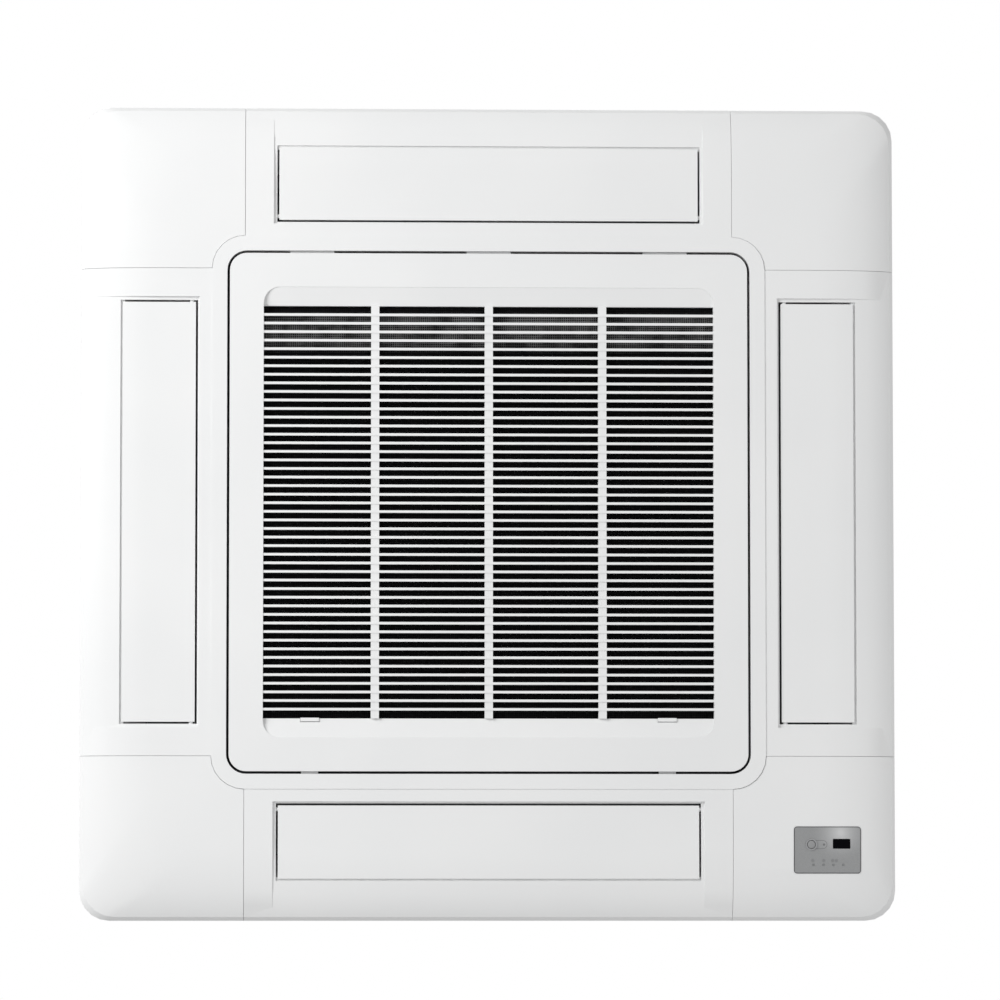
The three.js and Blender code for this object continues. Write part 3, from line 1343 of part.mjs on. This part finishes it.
add('coil', coil(), 'aluminium');
add('coil_end_plate', coilEndPlate(), 'galvanised');
add('coil_closing_plate', coilClosingPlate(), 'galvanised');
add('gas_pipe', refrigerantPipe(gasRadius, gasHeight), 'copper');
add('liquid_pipe', refrigerantPipe(liquidRadius, liquidHeight), 'copper');
add('gas_flare_nut', flareNut(gasNut, gasRadius, gasHeight), 'brass');
add('liquid_flare_nut', flareNut(liquidNut, liquidRadius, liquidHeight), 'brass');
add('pipe_cover_plate', pipeCoverPlate(), 'galvanised');

add('side_casing', sideCasing(), 'galvanised');
add('top_plate', topPlate(), 'galvanised');
add('foam_liner', foamLiner(), 'foam');
bodyCorners.forEach((corner, i) => add(`hanger_bracket_${cornerNames[i]}`, hangerBracket(corner), 'steel'));
add('cable_gland', cableGland(), 'darkPlastic');

add('control_box', controlBox(), 'galvanised');
add('control_box_cover', controlBoxCover(), 'galvanised');
add('control_board', controlBoard(), 'board');
add('terminal_block', terminalBlock(), 'darkPlastic');
add('air_sensor', airSensor(), 'darkPlastic');

export default cassette;
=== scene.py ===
# %% [markdown]
# # A ceiling cassette air conditioner, seen from below
#
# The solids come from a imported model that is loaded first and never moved. This script gives each visible
# piece soft edges, smooth shading and a finish, and then sets up the floor, the lamps and the camera.

import json
import math

import bmesh
import bpy
from mathutils import Matrix, Vector


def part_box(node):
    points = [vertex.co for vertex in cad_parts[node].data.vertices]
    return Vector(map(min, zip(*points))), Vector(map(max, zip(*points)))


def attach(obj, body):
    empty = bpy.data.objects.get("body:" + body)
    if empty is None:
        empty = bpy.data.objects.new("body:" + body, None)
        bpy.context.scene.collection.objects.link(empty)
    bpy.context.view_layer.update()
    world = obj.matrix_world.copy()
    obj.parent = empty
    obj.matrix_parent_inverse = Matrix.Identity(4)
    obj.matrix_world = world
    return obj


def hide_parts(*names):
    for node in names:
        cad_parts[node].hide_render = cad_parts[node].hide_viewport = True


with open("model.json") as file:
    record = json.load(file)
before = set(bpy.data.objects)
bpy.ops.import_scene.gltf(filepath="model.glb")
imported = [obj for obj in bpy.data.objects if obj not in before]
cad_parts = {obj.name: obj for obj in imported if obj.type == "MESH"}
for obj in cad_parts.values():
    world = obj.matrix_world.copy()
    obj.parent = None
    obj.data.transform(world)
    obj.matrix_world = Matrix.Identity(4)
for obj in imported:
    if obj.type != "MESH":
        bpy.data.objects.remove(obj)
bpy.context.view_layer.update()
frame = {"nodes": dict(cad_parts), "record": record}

# %% [markdown]
# A piece's body tells what it moves with: the grille swings with its filter, each louver by itself. The
# model's record lists which node is in which body, and which finish each node has.

# %% Bodies and finishes of the nodes
body_of = {node: body for body, nodes in frame["record"]["behaviour"]["bodies"].items() for node in nodes}
slot_of = {part["node"]: part["material_slot"] for part in frame["record"]["subparts"]}
print("bodies:", sorted(set(body_of.values())))

# %% [markdown]
# ## Finishes
#
# Materials are node graphs. Written node by node they are long, so one small class wraps a socket and
# lets ordinary arithmetic add Math nodes. `make` adds any other node.


# %% Shader arithmetic
class Value:
    """One output socket, with arithmetic that adds Math nodes behind it."""

    def __init__(self, tree, socket):
        self.tree, self.socket = tree, socket

    def math(self, operation, *others):
        inputs = {0: self, **dict(enumerate(others, 1))}
        return make(self.tree, "ShaderNodeMath", {"operation": operation}, inputs)

    def __add__(self, other):
        return self.math("ADD", other)

    def __sub__(self, other):
        return self.math("SUBTRACT", other)

    def __mul__(self, other):
        return self.math("MULTIPLY", other)

    def __truediv__(self, other):
        return self.math("DIVIDE", other)


def make(tree, kind, settings, inputs, output=0):
    """A node of that kind with its settings and inputs, as the Value of one of its outputs."""
    node = tree.nodes.new(kind)
    for name, setting in settings.items():
        setattr(node, name, setting)
    for name, value in inputs.items():
        if isinstance(value, Value):
            tree.links.new(value.socket, node.inputs[name])
        else:
            node.inputs[name].default_value = value
    return Value(tree, node.outputs[output])


print("shader arithmetic ready")


# %% [markdown]
# Every finish starts from the Principled shader. Its fixed values are set on its own sockets; what changes
# over the surface is passed as a Value. Patterns read Object coordinates, which are metres here, so a
# texture scale of 1000 gives a detail of about a millimetre.

# %% A finish with its fixed and its changing values
class Finish:
    """A material whose Principled shader takes fixed numbers and patterns."""

    def __init__(self, name, colour, roughness, metallic=0.0, **fixed):
        self.name = name
        self.material = bpy.data.materials.new(name)
        self.material.use_nodes = True
        self.tree = self.material.node_tree
        self.shader = self.tree.nodes["Principled BSDF"]
        self.set({"Base Color": (*colour, 1), "Roughness": roughness, "Metallic": metallic, **fixed})
        self.place = make(self.tree, "ShaderNodeTexCoord", {}, {}, "Object")

    def set(self, values):
        for name, value in values.items():
            if isinstance(value, Value):
                self.tree.links.new(value.socket, self.shader.inputs[name])
            else:
                self.shader.inputs[name].default_value = value

    def noise(self, scale, detail=2.0):
        inputs = {"Vector": self.place, "Scale": scale, "Detail": detail, "Roughness": 0.5}
        return make(self.tree, "ShaderNodeTexNoise", {}, inputs, "Fac")

    def cells(self, scale, output="Distance", feature="F1"):
        inputs = {"Vector": self.place, "Scale": scale}
        return make(self.tree, "ShaderNodeTexVoronoi", {"feature": feature}, inputs, output)

    def axis(self, letter):
        return make(self.tree, "ShaderNodeSeparateXYZ", {}, {0: self.place}, letter)

    def spread(self, value, low, high, start=0.0, end=1.0):
        inputs = {"Value": value, "From Min": start, "From Max": end, "To Min": low, "To Max": high}
        return make(self.tree, "ShaderNodeMapRange", {}, inputs, "Result")

    def blend(self, share, first, second):
        inputs = {"Factor": share, 6: (*first, 1), 7: (*second, 1)}
        return make(self.tree, "ShaderNodeMix", {"data_type": "RGBA"}, inputs, 2)

    def bump(self, height, strength, distance):
        inputs = {"Height": height, "Strength": strength, "Distance": distance}
        return make(self.tree, "ShaderNodeBump", {}, inputs)


print("finish class ready")

# %% [markdown]
# The fascia, covers, louvers and grille are injection-moulded white plastic. Such a surface is satin with
# a very fine grain from the etched mould, and its gloss wanders a little over large areas.

# %% White plastic
white = Finish("white_plastic", (0.845, 0.85, 0.85), 0.42, **{"Specular IOR Level": 0.45})
grain = white.noise(1400, 2)
drift = white.noise(5, 2)
tone = white.spread(drift, 0, 1, 0.35, 0.65)
white.set({
    "Base Color": white.blend(tone, (0.835, 0.841, 0.842), (0.858, 0.862, 0.861)),
    "Roughness": white.spread(drift, 0.38, 0.47, 0.3, 0.7),
    "Normal": white.bump(grain, 0.05, 0.0001),
})
print("made", white.name)

# %% [markdown]
# The receiver plate is plastic with a silver lacquer: fine flakes give it sparkle that flat grey lacks, and
# a painted highlight makes one corner of it paler. Painted shade darkens a thin rim along its edge, a
# pill-shaped groove joins the button to a dot, and faint round marks sit in front of the indicators. These
# marks are drawn from distances: the distance to a point or to a short line, compared with a radius.

# %% Silver lacquer
silver = Finish("silver_plastic", (0.42, 0.43, 0.44), 0.34, 0.5)
button_x, button_y = 0.3751, 0.3867
plate_place, plate_half = (0.394, 0.393), (0.0358, 0.0238)
pill_half, pill_radius = 0.00675, 0.0047
dot_offset = 0.0147
mark_row, mark_columns = 0.0186, (0.0016, 0.0144, 0.0249, 0.0291)
# Centre and reach of the painted highlight, a paler patch towards one corner of the plate.
painted_highlight_place, painted_highlight_reach = (0.409, 0.373), 0.036
along, across = silver.axis("X"), silver.axis("Y")


def distance(x, y, half_x=0.0, half_y=0.0):
    """Distance to a point, or to a rectangle with these half sizes."""
    dx = ((along - x).math("ABSOLUTE") - half_x).math("MAXIMUM", 0)
    dy = ((across - y).math("ABSOLUTE") - half_y).math("MAXIMUM", 0)
    return (dx * dx + dy * dy).math("SQRT")


def groove(reach, radius, width=0.00035):
    """One along the outline at that radius, falling to nothing beside it."""
    return silver.spread((reach - radius).math("ABSOLUTE"), 1, 0, width * 0.4, width)


flake = silver.cells(2600, "Color")
flake_grey = make(silver.tree, "ShaderNodeRGBToBW", {}, {0: flake})
pill = groove(distance(button_x + pill_half, button_y, pill_half), pill_radius)
dot = silver.spread(distance(button_x + dot_offset, button_y), 1, 0, 0.001, 0.0018) * 0.6
# Painted shade: a thin dark rim along the plate's outer edge.
painted_edge_shade = silver.spread(distance(*plate_place, *plate_half), 0, 1, 0.0022, 0.0027) * 0.8
marks = [silver.spread(distance(button_x + x, button_y + mark_row), 0.3, 0, 0.0012, 0.0026)
         for x in mark_columns]
dark_share = (pill * 0.7).math("MAXIMUM", dot).math("MAXIMUM", painted_edge_shade)
for mark in marks:
    dark_share = dark_share.math("MAXIMUM", mark)
# Painted highlight: the lacquer turns paler towards one corner of the plate.
painted_highlight_share = silver.spread(distance(*painted_highlight_place), 1, 0, 0.002, painted_highlight_reach)
base = silver.blend(flake_grey, (0.36, 0.366, 0.37), (0.46, 0.466, 0.47))
paler = make(silver.tree, "ShaderNodeMix", {"data_type": "RGBA"}, {
    "Factor": painted_highlight_share * painted_highlight_share * 0.8, 6: base, 7: (0.86, 0.865, 0.87, 1)}, 2)
silver.set({
    "Base Color": make(silver.tree, "ShaderNodeMix", {"data_type": "RGBA"}, {
        "Factor": dark_share, 6: paler, 7: (0.09, 0.09, 0.095, 1)}, 2),
    "Roughness": silver.spread(flake_grey, 0.32, 0.45),
    "Normal": silver.bump(silver.noise(1800, 1), 0.08, 0.0001),
})
print("made", silver.name)

# %% Dark window, dark plastics and clear plastic
window_black = Finish("dark_window", (0.003, 0.003, 0.004), 0.1, **{"Specular IOR Level": 0.02})
window_black.set({"Roughness": window_black.spread(window_black.noise(60), 0.07, 0.14, 0.3, 0.7)})

dark = Finish("dark_plastic", (0.03, 0.031, 0.034), 0.5)
dark.set({
    "Roughness": dark.spread(dark.noise(40), 0.42, 0.58, 0.3, 0.7),
    "Normal": dark.bump(dark.noise(1500, 2), 0.12, 0.0001),
})

clear = Finish("clear_plastic", (0.3, 0.31, 0.31), 0.25)
clear.set({"Roughness": clear.spread(clear.noise(80), 0.2, 0.3, 0.3, 0.7)})

inner = Finish("inner_plastic", (0.6, 0.61, 0.61), 0.48)
inner.set({
    "Base Color": inner.blend(inner.noise(9), (0.56, 0.57, 0.572), (0.66, 0.668, 0.668)),
    "Normal": inner.bump(inner.noise(900, 2), 0.1, 0.0001),
})
print("made four plastics")

# %% [markdown]
# The filter is a woven black mesh in a frame. Two sets of fine lines crossing at right angles make the
# weave. Near the front edge the real one catches the light, so its threads are paler there, in uneven
# streaks.

# %% Filter mesh
mesh_black = Finish("filter_plastic", (0.004, 0.004, 0.005), 0.7, **{"Specular IOR Level": 0.05})
thread_pitch = 0.0022
lines = [(mesh_black.axis(letter) / thread_pitch).math("FRACT").math("PINGPONG", 0.5) for letter in "XY"]
threads = lines[0].math("MINIMUM", lines[1])
thread_mask = mesh_black.spread(threads, 1, 0, 0.08, 0.16)
from_front = mesh_black.spread(mesh_black.axis("Y"), 0, 1, -0.235, -0.228)
to_dark = mesh_black.spread(mesh_black.axis("Y"), 1, 0, -0.2, -0.186)
streaks = mesh_black.spread(mesh_black.noise(38, 3), 0.25, 1, 0.35, 0.62)
lit = thread_mask * from_front * to_dark * streaks
mesh_black.set({
    "Base Color": mesh_black.blend(lit + thread_mask * 0.03, (0.002, 0.002, 0.0025), (0.34, 0.34, 0.34)),
    "Normal": mesh_black.bump(thread_mask, 0.5, 0.0004),
})
print("made", mesh_black.name)

# %% [markdown]
# The body is hot-dip galvanised sheet. Zinc freezes in large crystals, the spangle, each with its own tone
# and gloss. Voronoi cells give each crystal one value.

# %% Galvanised sheet and other steels
zinc = Finish("galvanised_steel", (0.56, 0.58, 0.59), 0.5, 0.75)
crystal = make(zinc.tree, "ShaderNodeRGBToBW", {}, {0: zinc.cells(70, "Color")})
zinc.set({
    "Base Color": zinc.blend(crystal, (0.47, 0.488, 0.5), (0.62, 0.638, 0.65)),
    "Roughness": zinc.spread(crystal, 0.42, 0.6),
    "Normal": zinc.bump(zinc.noise(500, 2), 0.06, 0.0002),
})

bracket = Finish("bracket_steel", (0.58, 0.6, 0.61), 0.4, 0.9)
bracket.set({
    "Base Color": bracket.blend(bracket.noise(30), (0.52, 0.54, 0.55), (0.62, 0.64, 0.65)),
    "Roughness": bracket.spread(bracket.noise(120), 0.32, 0.5, 0.3, 0.7),
})

plated = Finish("zinc_steel", (0.62, 0.63, 0.64), 0.3, 0.95)
plated.set({"Roughness": plated.spread(plated.noise(300), 0.22, 0.38, 0.3, 0.7)})

can = Finish("motor_can", (0.6, 0.61, 0.62), 0.34, 0.9)
can.set({
    "Base Color": can.blend(can.noise(25), (0.54, 0.55, 0.56), (0.64, 0.65, 0.66)),
    "Roughness": can.spread(can.noise(200), 0.28, 0.42, 0.3, 0.7),
})
print("made four steels")

# %% [markdown]
# The drain pan and the liner are moulded from small foam beads that stay visible as a pattern of cells.

# %% Foams
beads = Finish("white_foam", (0.82, 0.82, 0.8), 0.85)
bead = beads.cells(300)
beads.set({
    "Base Color": beads.blend(beads.spread(bead, 0, 1, 0.2, 0.7), (0.84, 0.84, 0.825), (0.72, 0.72, 0.7)),
    "Normal": beads.bump(bead, 0.35, 0.0008),
})

# This dark finish also colours the strip that stands in for the shade behind the gap round the grille.
dark_foam_and_gap_shade = Finish("dark_foam", (0.05, 0.05, 0.055), 0.9)
dark_foam_and_gap_shade.set({"Normal": dark_foam_and_gap_shade.bump(dark_foam_and_gap_shade.cells(900), 0.5, 0.0004)})
print("made two foams")

# %% [markdown]
# The coil's fins are thin aluminium sheets 1.6 mm apart that stand upright, so from the side the block
# shows as fine vertical stripes; the block is solid, so the shade in the gaps between the sheets is painted
# in as dark stripes. Pipes are bare copper and nuts are turned brass.

# %% Coil, copper and brass
fins = Finish("coil_fins", (0.66, 0.68, 0.69), 0.38, 0.85)
fin_pitch = 0.0016
around = (fins.axis("X") + fins.axis("Y")) / fin_pitch
# Painted shade: the dark stripes stand for the shaded gaps between the fins.
gap = fins.spread(around.math("FRACT").math("PINGPONG", 0.5), 0, 1, 0.12, 0.3)
fins.set({
    "Base Color": fins.blend(gap, (0.16, 0.165, 0.17), (0.7, 0.715, 0.725)),
    "Normal": fins.bump(gap, 0.6, 0.0005),
})

copper = Finish("copper", (0.6, 0.28, 0.14), 0.28, 1.0)
copper.set({
    "Base Color": copper.blend(copper.noise(45, 3), (0.52, 0.22, 0.1), (0.68, 0.34, 0.18)),
    "Roughness": copper.spread(copper.noise(140), 0.2, 0.4, 0.3, 0.7),
})

brass = Finish("brass", (0.62, 0.47, 0.2), 0.27, 1.0)
brass.set({
    "Base Color": brass.blend(brass.noise(60, 3), (0.56, 0.41, 0.16), (0.68, 0.53, 0.25)),
    "Roughness": brass.spread(brass.noise(400), 0.2, 0.34, 0.3, 0.7),
})
print("made coil and pipe finishes")

# %% [markdown]
# A circuit board is green lacquer over copper tracks, which show as slightly paler lines.

# %% Circuit board
board = Finish("circuit_board", (0.02, 0.12, 0.05), 0.35)
track = board.cells(240, "Distance", "DISTANCE_TO_EDGE")
on_track = board.spread(track, 1, 0, 0.03, 0.07)
board.set({
    "Base Color": board.blend(on_track, (0.012, 0.085, 0.035), (0.035, 0.17, 0.075)),
    "Normal": board.bump(on_track, 0.3, 0.0001),
})
print("made", board.name)

# %% Finish of each slot
finishes = {finish.name: finish.material for finish in (
    white, silver, window_black, dark, clear, inner, mesh_black, zinc, bracket, plated, can, beads,
    dark_foam_and_gap_shade, fins, copper, brass, board)}
missing = sorted(set(slot_of.values()) - set(finishes))
print("finishes:", len(finishes), "slots without one:", missing)

# %% [markdown]
# ## Soft edges
#
# Moulded and pressed parts have no knife edges: every edge is rounded a little, and that thin highlight
# makes a part look real. The solids' own meshes stay as they are, so each visible piece is a copy. Its
# loose triangles are merged, coplanar triangles become whole faces, the sharp edges are bevelled, and
# weighted normals keep flat faces flat while curved ones shade smoothly.

# %% Limits of merging, rounding and smoothing
merge_reach = 3e-6
flat_limit, sharp_limit, crease_limit = math.radians(0.4), math.radians(28), math.radians(38)


def folded(edge, limit):
    """True where the two faces of an edge meet at more than that angle."""
    return len(edge.link_faces) == 2 and edge.calc_face_angle(0) > limit


def soften(bm, corners, offset):
    """Round those edges with two rows of faces."""
    bmesh.ops.bevel(bm, geom=corners, offset=offset, offset_type="OFFSET", affect="EDGES", segments=2,
                    profile=0.5, material=-1, clamp_overlap=True)


def shade_smooth(bm):
    """Smooth shading, except across the edges that still fold sharply."""
    for face in bm.faces:
        face.smooth = True
    for e in bm.edges:
        e.smooth = not folded(e, crease_limit)


print("edges sharper than", round(math.degrees(sharp_limit)), "degrees get rounded")

# %% [markdown]
# Slats get thinner towards their back, as they must to leave a mould. Their points are found by the pitch
# and the half thickness that the slats have, inside the field that they fill.

# %% Slats that taper
slat_pitch, slat_half, slat_front, slat_back = 0.01, 0.0016, -0.036, -0.027
slat_field = (0.2626, 0.24)
taper_front, taper_rest = 0.00012, 0.0007


def taper_slats(bm):
    """Move the sides of every slat inwards, more so towards its back."""
    moved = 0
    for v in bm.verts:
        x, y, z = v.co
        middle = round(y / slat_pitch) * slat_pitch
        on_side = abs(abs(y - middle) - slat_half) < 2e-5
        on_slat = on_side and abs(x) < slat_field[0] and abs(y) < slat_field[1]
        if on_slat and slat_front - 1e-5 < z < slat_back + 1e-5:
            depth = (z - slat_front) / (slat_back - slat_front)
            v.co.y -= math.copysign(taper_front + taper_rest * depth, y - middle)
            moved += 1
    print("slat points moved:", moved)


# %% A dressed copy of a solid
def dressed(node, edge):
    """A copy of a solid with merged points, soft edges and smooth shading, riding on the solid's body."""
    mesh = frame["nodes"][node].data.copy()
    mesh.name = node + "_dressed"
    bm = bmesh.new()
    bm.from_mesh(mesh)
    bmesh.ops.remove_doubles(bm, verts=bm.verts, dist=merge_reach)
    if node == "intake_grille":
        taper_slats(bm)
    bmesh.ops.dissolve_limit(bm, angle_limit=flat_limit, verts=bm.verts, edges=bm.edges)
    if edge:
        soften(bm, [e for e in bm.edges if folded(e, sharp_limit)], edge)
    shade_smooth(bm)
    bm.to_mesh(mesh)
    bm.free()
    piece = bpy.data.objects.new(mesh.name, mesh)
    bpy.context.scene.collection.objects.link(piece)
    weighted = piece.modifiers.new("weighted", "WEIGHTED_NORMAL")
    weighted.keep_sharp = True
    mesh.materials.clear()
    mesh.materials.append(finishes[slot_of[node]])
    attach(piece, body_of[node])
    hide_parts(node)
    return piece


usual_edge = 0.0004
edges = {
    "panel_frame": 0.0006, "air_filter": 0.0003, "display_plate": 0.0006,
    "display_window": 0.0002, "run_button": 0.00025, "indicator_lens": 0.0001, "display_board": 0.0001,
    "coil": 0, "drain_pan": 0.0012, "foam_liner": 0.001, "top_plate": 0.0006,
    "control_board": 0.0002, "terminal_block": 0.0002, "air_sensor": 0.0003,
}
pieces = {}
for node in frame["nodes"]:
    pieces[node] = dressed(node, edges.get(node, usual_edge))
print("dressed", len(pieces), "pieces, faces", sum(len(p.data.polygons) for p in pieces.values()))

# %% [markdown]
# ## Small pieces the solids leave out
#
# Three details show in the photograph but are too small for the solids: a dark strip behind the gap round
# the grille, which stands in for the shade that makes that gap look black; a white stop behind the outer
# edge of each louver, which makes the gap there look pale; and the bright ring round the button.


# %% Making a new piece
def new_piece(name, bm, finish, body):
    """An object from a bmesh, shaded smooth, with that finish, riding on a body."""
    shade_smooth(bm)
    bmesh.ops.recalc_face_normals(bm, faces=bm.faces)
    mesh = bpy.data.meshes.new(name)
    bm.to_mesh(mesh)
    bm.free()
    piece = bpy.data.objects.new(name, mesh)
    bpy.context.scene.collection.objects.link(piece)
    mesh.materials.append(finish.material)
    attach(piece, body)
    print(name, "faces", len(mesh.polygons))
    return piece


def square_outline(half, radius, height, steps=8):
    """Points along a square with round corners, at one height."""
    points = []
    for quarter in range(4):
        turn = quarter * math.pi / 2
        corner = Vector((half - radius, half - radius, 0))
        for step in range(steps + 1):
            angle = step / steps * math.pi / 2
            offset = Vector((math.cos(angle), math.sin(angle), 0)) * radius
            points.append(Matrix.Rotation(turn, 3, "Z") @ (corner + offset) + Vector((0, 0, height)))
    return points


# %% Dark strip behind the gap, standing in for its shade
outer, inner_side = (0.3047, 0.0227), (0.299, 0.017)
strip_low, strip_high = -0.0225, -0.0221
bm = bmesh.new()
loops = []
for (half, radius), height in (
        (outer, strip_low), (inner_side, strip_low), (inner_side, strip_high), (outer, strip_high)):
    loops.append([bm.verts.new(point) for point in square_outline(half, radius, height)])
for low, high in zip(loops, loops[1:] + loops[:1]):
    for i in range(len(low)):
        j = (i + 1) % len(low)
        bm.faces.new((low[i], low[j], high[j], high[i]))
new_piece("gap_seal_strip", bm, dark_foam_and_gap_shade, "cassette")

# %% Stop behind the outer edge of each louver
louver_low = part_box("louver_front")[0]
edge_points = [v.co for v in frame["nodes"]["louver_front"].data.vertices if v.co.y < louver_low[1] + 0.002]
edge_top = max(point.z for point in edge_points)
print("louver's outer edge at", round(louver_low[1], 4), "its top at", round(edge_top, 4))
stop_length, stop_reach, stop_edge = 0.4936, (0.424, 0.4289), 0.0003
stop_heights = (edge_top + 0.0006, edge_top + 0.0021)
for quarter, side in enumerate(("front", "right", "back", "left")):
    bm = bmesh.new()
    bmesh.ops.create_cube(bm, size=1)
    size = (stop_length, stop_reach[1] - stop_reach[0], stop_heights[1] - stop_heights[0])
    bmesh.ops.scale(bm, verts=bm.verts, vec=size)
    bmesh.ops.translate(bm, verts=bm.verts, vec=(0, -sum(stop_reach) / 2, sum(stop_heights) / 2))
    soften(bm, list(bm.edges), stop_edge)
    quarter_turn = Matrix.Rotation(quarter * math.pi / 2, 3, "Z")
    bmesh.ops.rotate(bm, verts=bm.verts, cent=(0, 0, 0), matrix=quarter_turn)
    new_piece("louver_stop_" + side, bm, white, "cassette")

# %% Ring round the button
face_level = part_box("display_plate")[0][2]
ring_profile = [
    (0.0053, 0.0), (0.0053, -0.0001), (0.0056, -0.00028),
    (0.0062, -0.00028), (0.0066, -0.0001), (0.0066, 0.0)]
ring_steps = 48
bm = bmesh.new()
points = [bm.verts.new((button_x + r, button_y, face_level + z)) for r, z in ring_profile]
rim = [bm.edges.new((a, b)) for a, b in zip(points, points[1:] + points[:1])]
bmesh.ops.spin(bm, geom=points + rim, cent=(button_x, button_y, 0), axis=(0, 0, 1), angle=2 * math.pi,
               steps=ring_steps, use_merge=True, use_duplicate=False)
new_piece("button_ring", bm, plated, "cassette")

# %% [markdown]
# ## Stage
#
# The unit hangs under an imaginary ceiling, and the camera looks up at it. The floor is far below, behind
# the camera; it shows only in views from the side. Towards its edge it turns into the white of the world.

# %% Floor
floor_level, floor_radius, fade = -7.4, 40, (4, 14)
bm = bmesh.new()
bmesh.ops.create_circle(bm, cap_ends=True, segments=64, radius=floor_radius)
bmesh.ops.translate(bm, verts=bm.verts, vec=(0, 0, floor_level))
floor_mesh = bpy.data.meshes.new("floor")
bm.to_mesh(floor_mesh)
bm.free()
floor = bpy.data.objects.new("floor", floor_mesh)
bpy.context.scene.collection.objects.link(floor)
floor_paint = Finish("floor_paint", (0.85, 0.85, 0.85), 0.8)
tree = floor_paint.tree
reach = make(tree, "ShaderNodeVectorMath", {"operation": "LENGTH"}, {0: floor_paint.place}, "Value")
far = floor_paint.spread(reach, 0.35, 1, *fade)
to_camera = make(tree, "ShaderNodeLightPath", {}, {}, "Is Camera Ray")
glow = make(tree, "ShaderNodeEmission", {}, {"Color": (1, 1, 1, 1), "Strength": 1.0})
paint = Value(tree, floor_paint.shader.outputs["BSDF"])
seen = make(tree, "ShaderNodeMixShader", {}, {0: far * to_camera, 1: paint, 2: glow})
tree.links.new(seen.socket, tree.nodes["Material Output"].inputs["Surface"])
floor_mesh.materials.append(floor_paint.material)
print("floor at", floor_level)

# %% [markdown]
# The world is white to the camera, to mirrors and through glass, and a softer grey to everything else, so
# that the background is white without flooding the object with light.

# %% World
world = bpy.data.worlds.new("studio")
bpy.context.scene.world = world
world.use_nodes = True
tree = world.node_tree
tree.nodes.clear()
rays = {name: make(tree, "ShaderNodeLightPath", {}, {}, name) for name in (
    "Is Camera Ray", "Is Glossy Ray", "Is Transmission Ray")}
white_rays = rays["Is Camera Ray"].math("MAXIMUM", rays["Is Glossy Ray"]).math(
    "MAXIMUM", rays["Is Transmission Ray"])
ambient = 0.51
backdrop = make(tree, "ShaderNodeBackground", {}, {
    "Color": (1, 1, 1, 1), "Strength": white_rays * (1 - ambient) + ambient})
surface = tree.nodes.new("ShaderNodeOutputWorld")
tree.links.new(backdrop.socket, surface.inputs["Surface"])
print("world ambient", ambient)

# %% [markdown]
# The lamps don't show in mirrors: the bare sheet steel of the body would burn out where it reflects them,
# and it has the white world to reflect.
#
# One large soft lamp below and to the left does most of the work: in the photograph the left side of the
# fascia is brightest. A weaker one fills from the right, and one above lights the body.


# %% Lamps
def lamp(name, place, target, size, power):
    """A square soft lamp that points at a target and isn't seen by the camera."""
    light = bpy.data.lights.new(name, "AREA")
    light.size = size
    light.energy = power
    holder = bpy.data.objects.new(name, light)
    bpy.context.scene.collection.objects.link(holder)
    holder.location = place
    holder.rotation_mode = "QUATERNION"
    holder.rotation_quaternion = (Vector(target) - Vector(place)).to_track_quat("-Z", "Y")
    holder.visible_camera = False
    holder.visible_glossy = False
    return holder


lamp("key_lamp", (-2.2, -1.0, -2.0), (0, 0, 0), 1.6, 71)
lamp("fill_lamp", (2.4, 1.0, -1.9), (0, 0, 0), 2.0, 14)
lamp("top_lamp", (-1.2, -1.6, 2.6), (0, 0, 0.1), 2.0, 45)
print("lamps set")

# %% [markdown]
# The camera is almost straight below the unit. Its place, turn and focal length were fitted to 38 points
# of the photograph: the corners of the fascia, whose lower edge is a little wider than its upper one, and
# the lines of the grille, its window, the louvers, the seams and the receiver plate.

# %% Camera
camera = bpy.data.objects.new("camera", bpy.data.cameras.new("camera"))
bpy.context.scene.collection.objects.link(camera)
right = Vector((0.999273, 0.000144, -0.038127)).normalized()
back = Vector((-0.038042, 0.070627, -0.996777)).normalized()
up = back.cross(right).normalized()
turn = Matrix((right, up, back)).transposed()
camera_place, focal_length = (-0.25282, 0.4796, -7.0), 215.957
camera.matrix_world = Matrix.Translation(camera_place) @ turn.to_4x4()
camera.data.sensor_width = 36
camera.data.lens = focal_length
camera.data.clip_start = 0.05
bpy.context.scene.camera = camera
bpy.context.scene.view_settings.view_transform = "Standard"
print("camera at", tuple(round(x, 3) for x in camera.location))
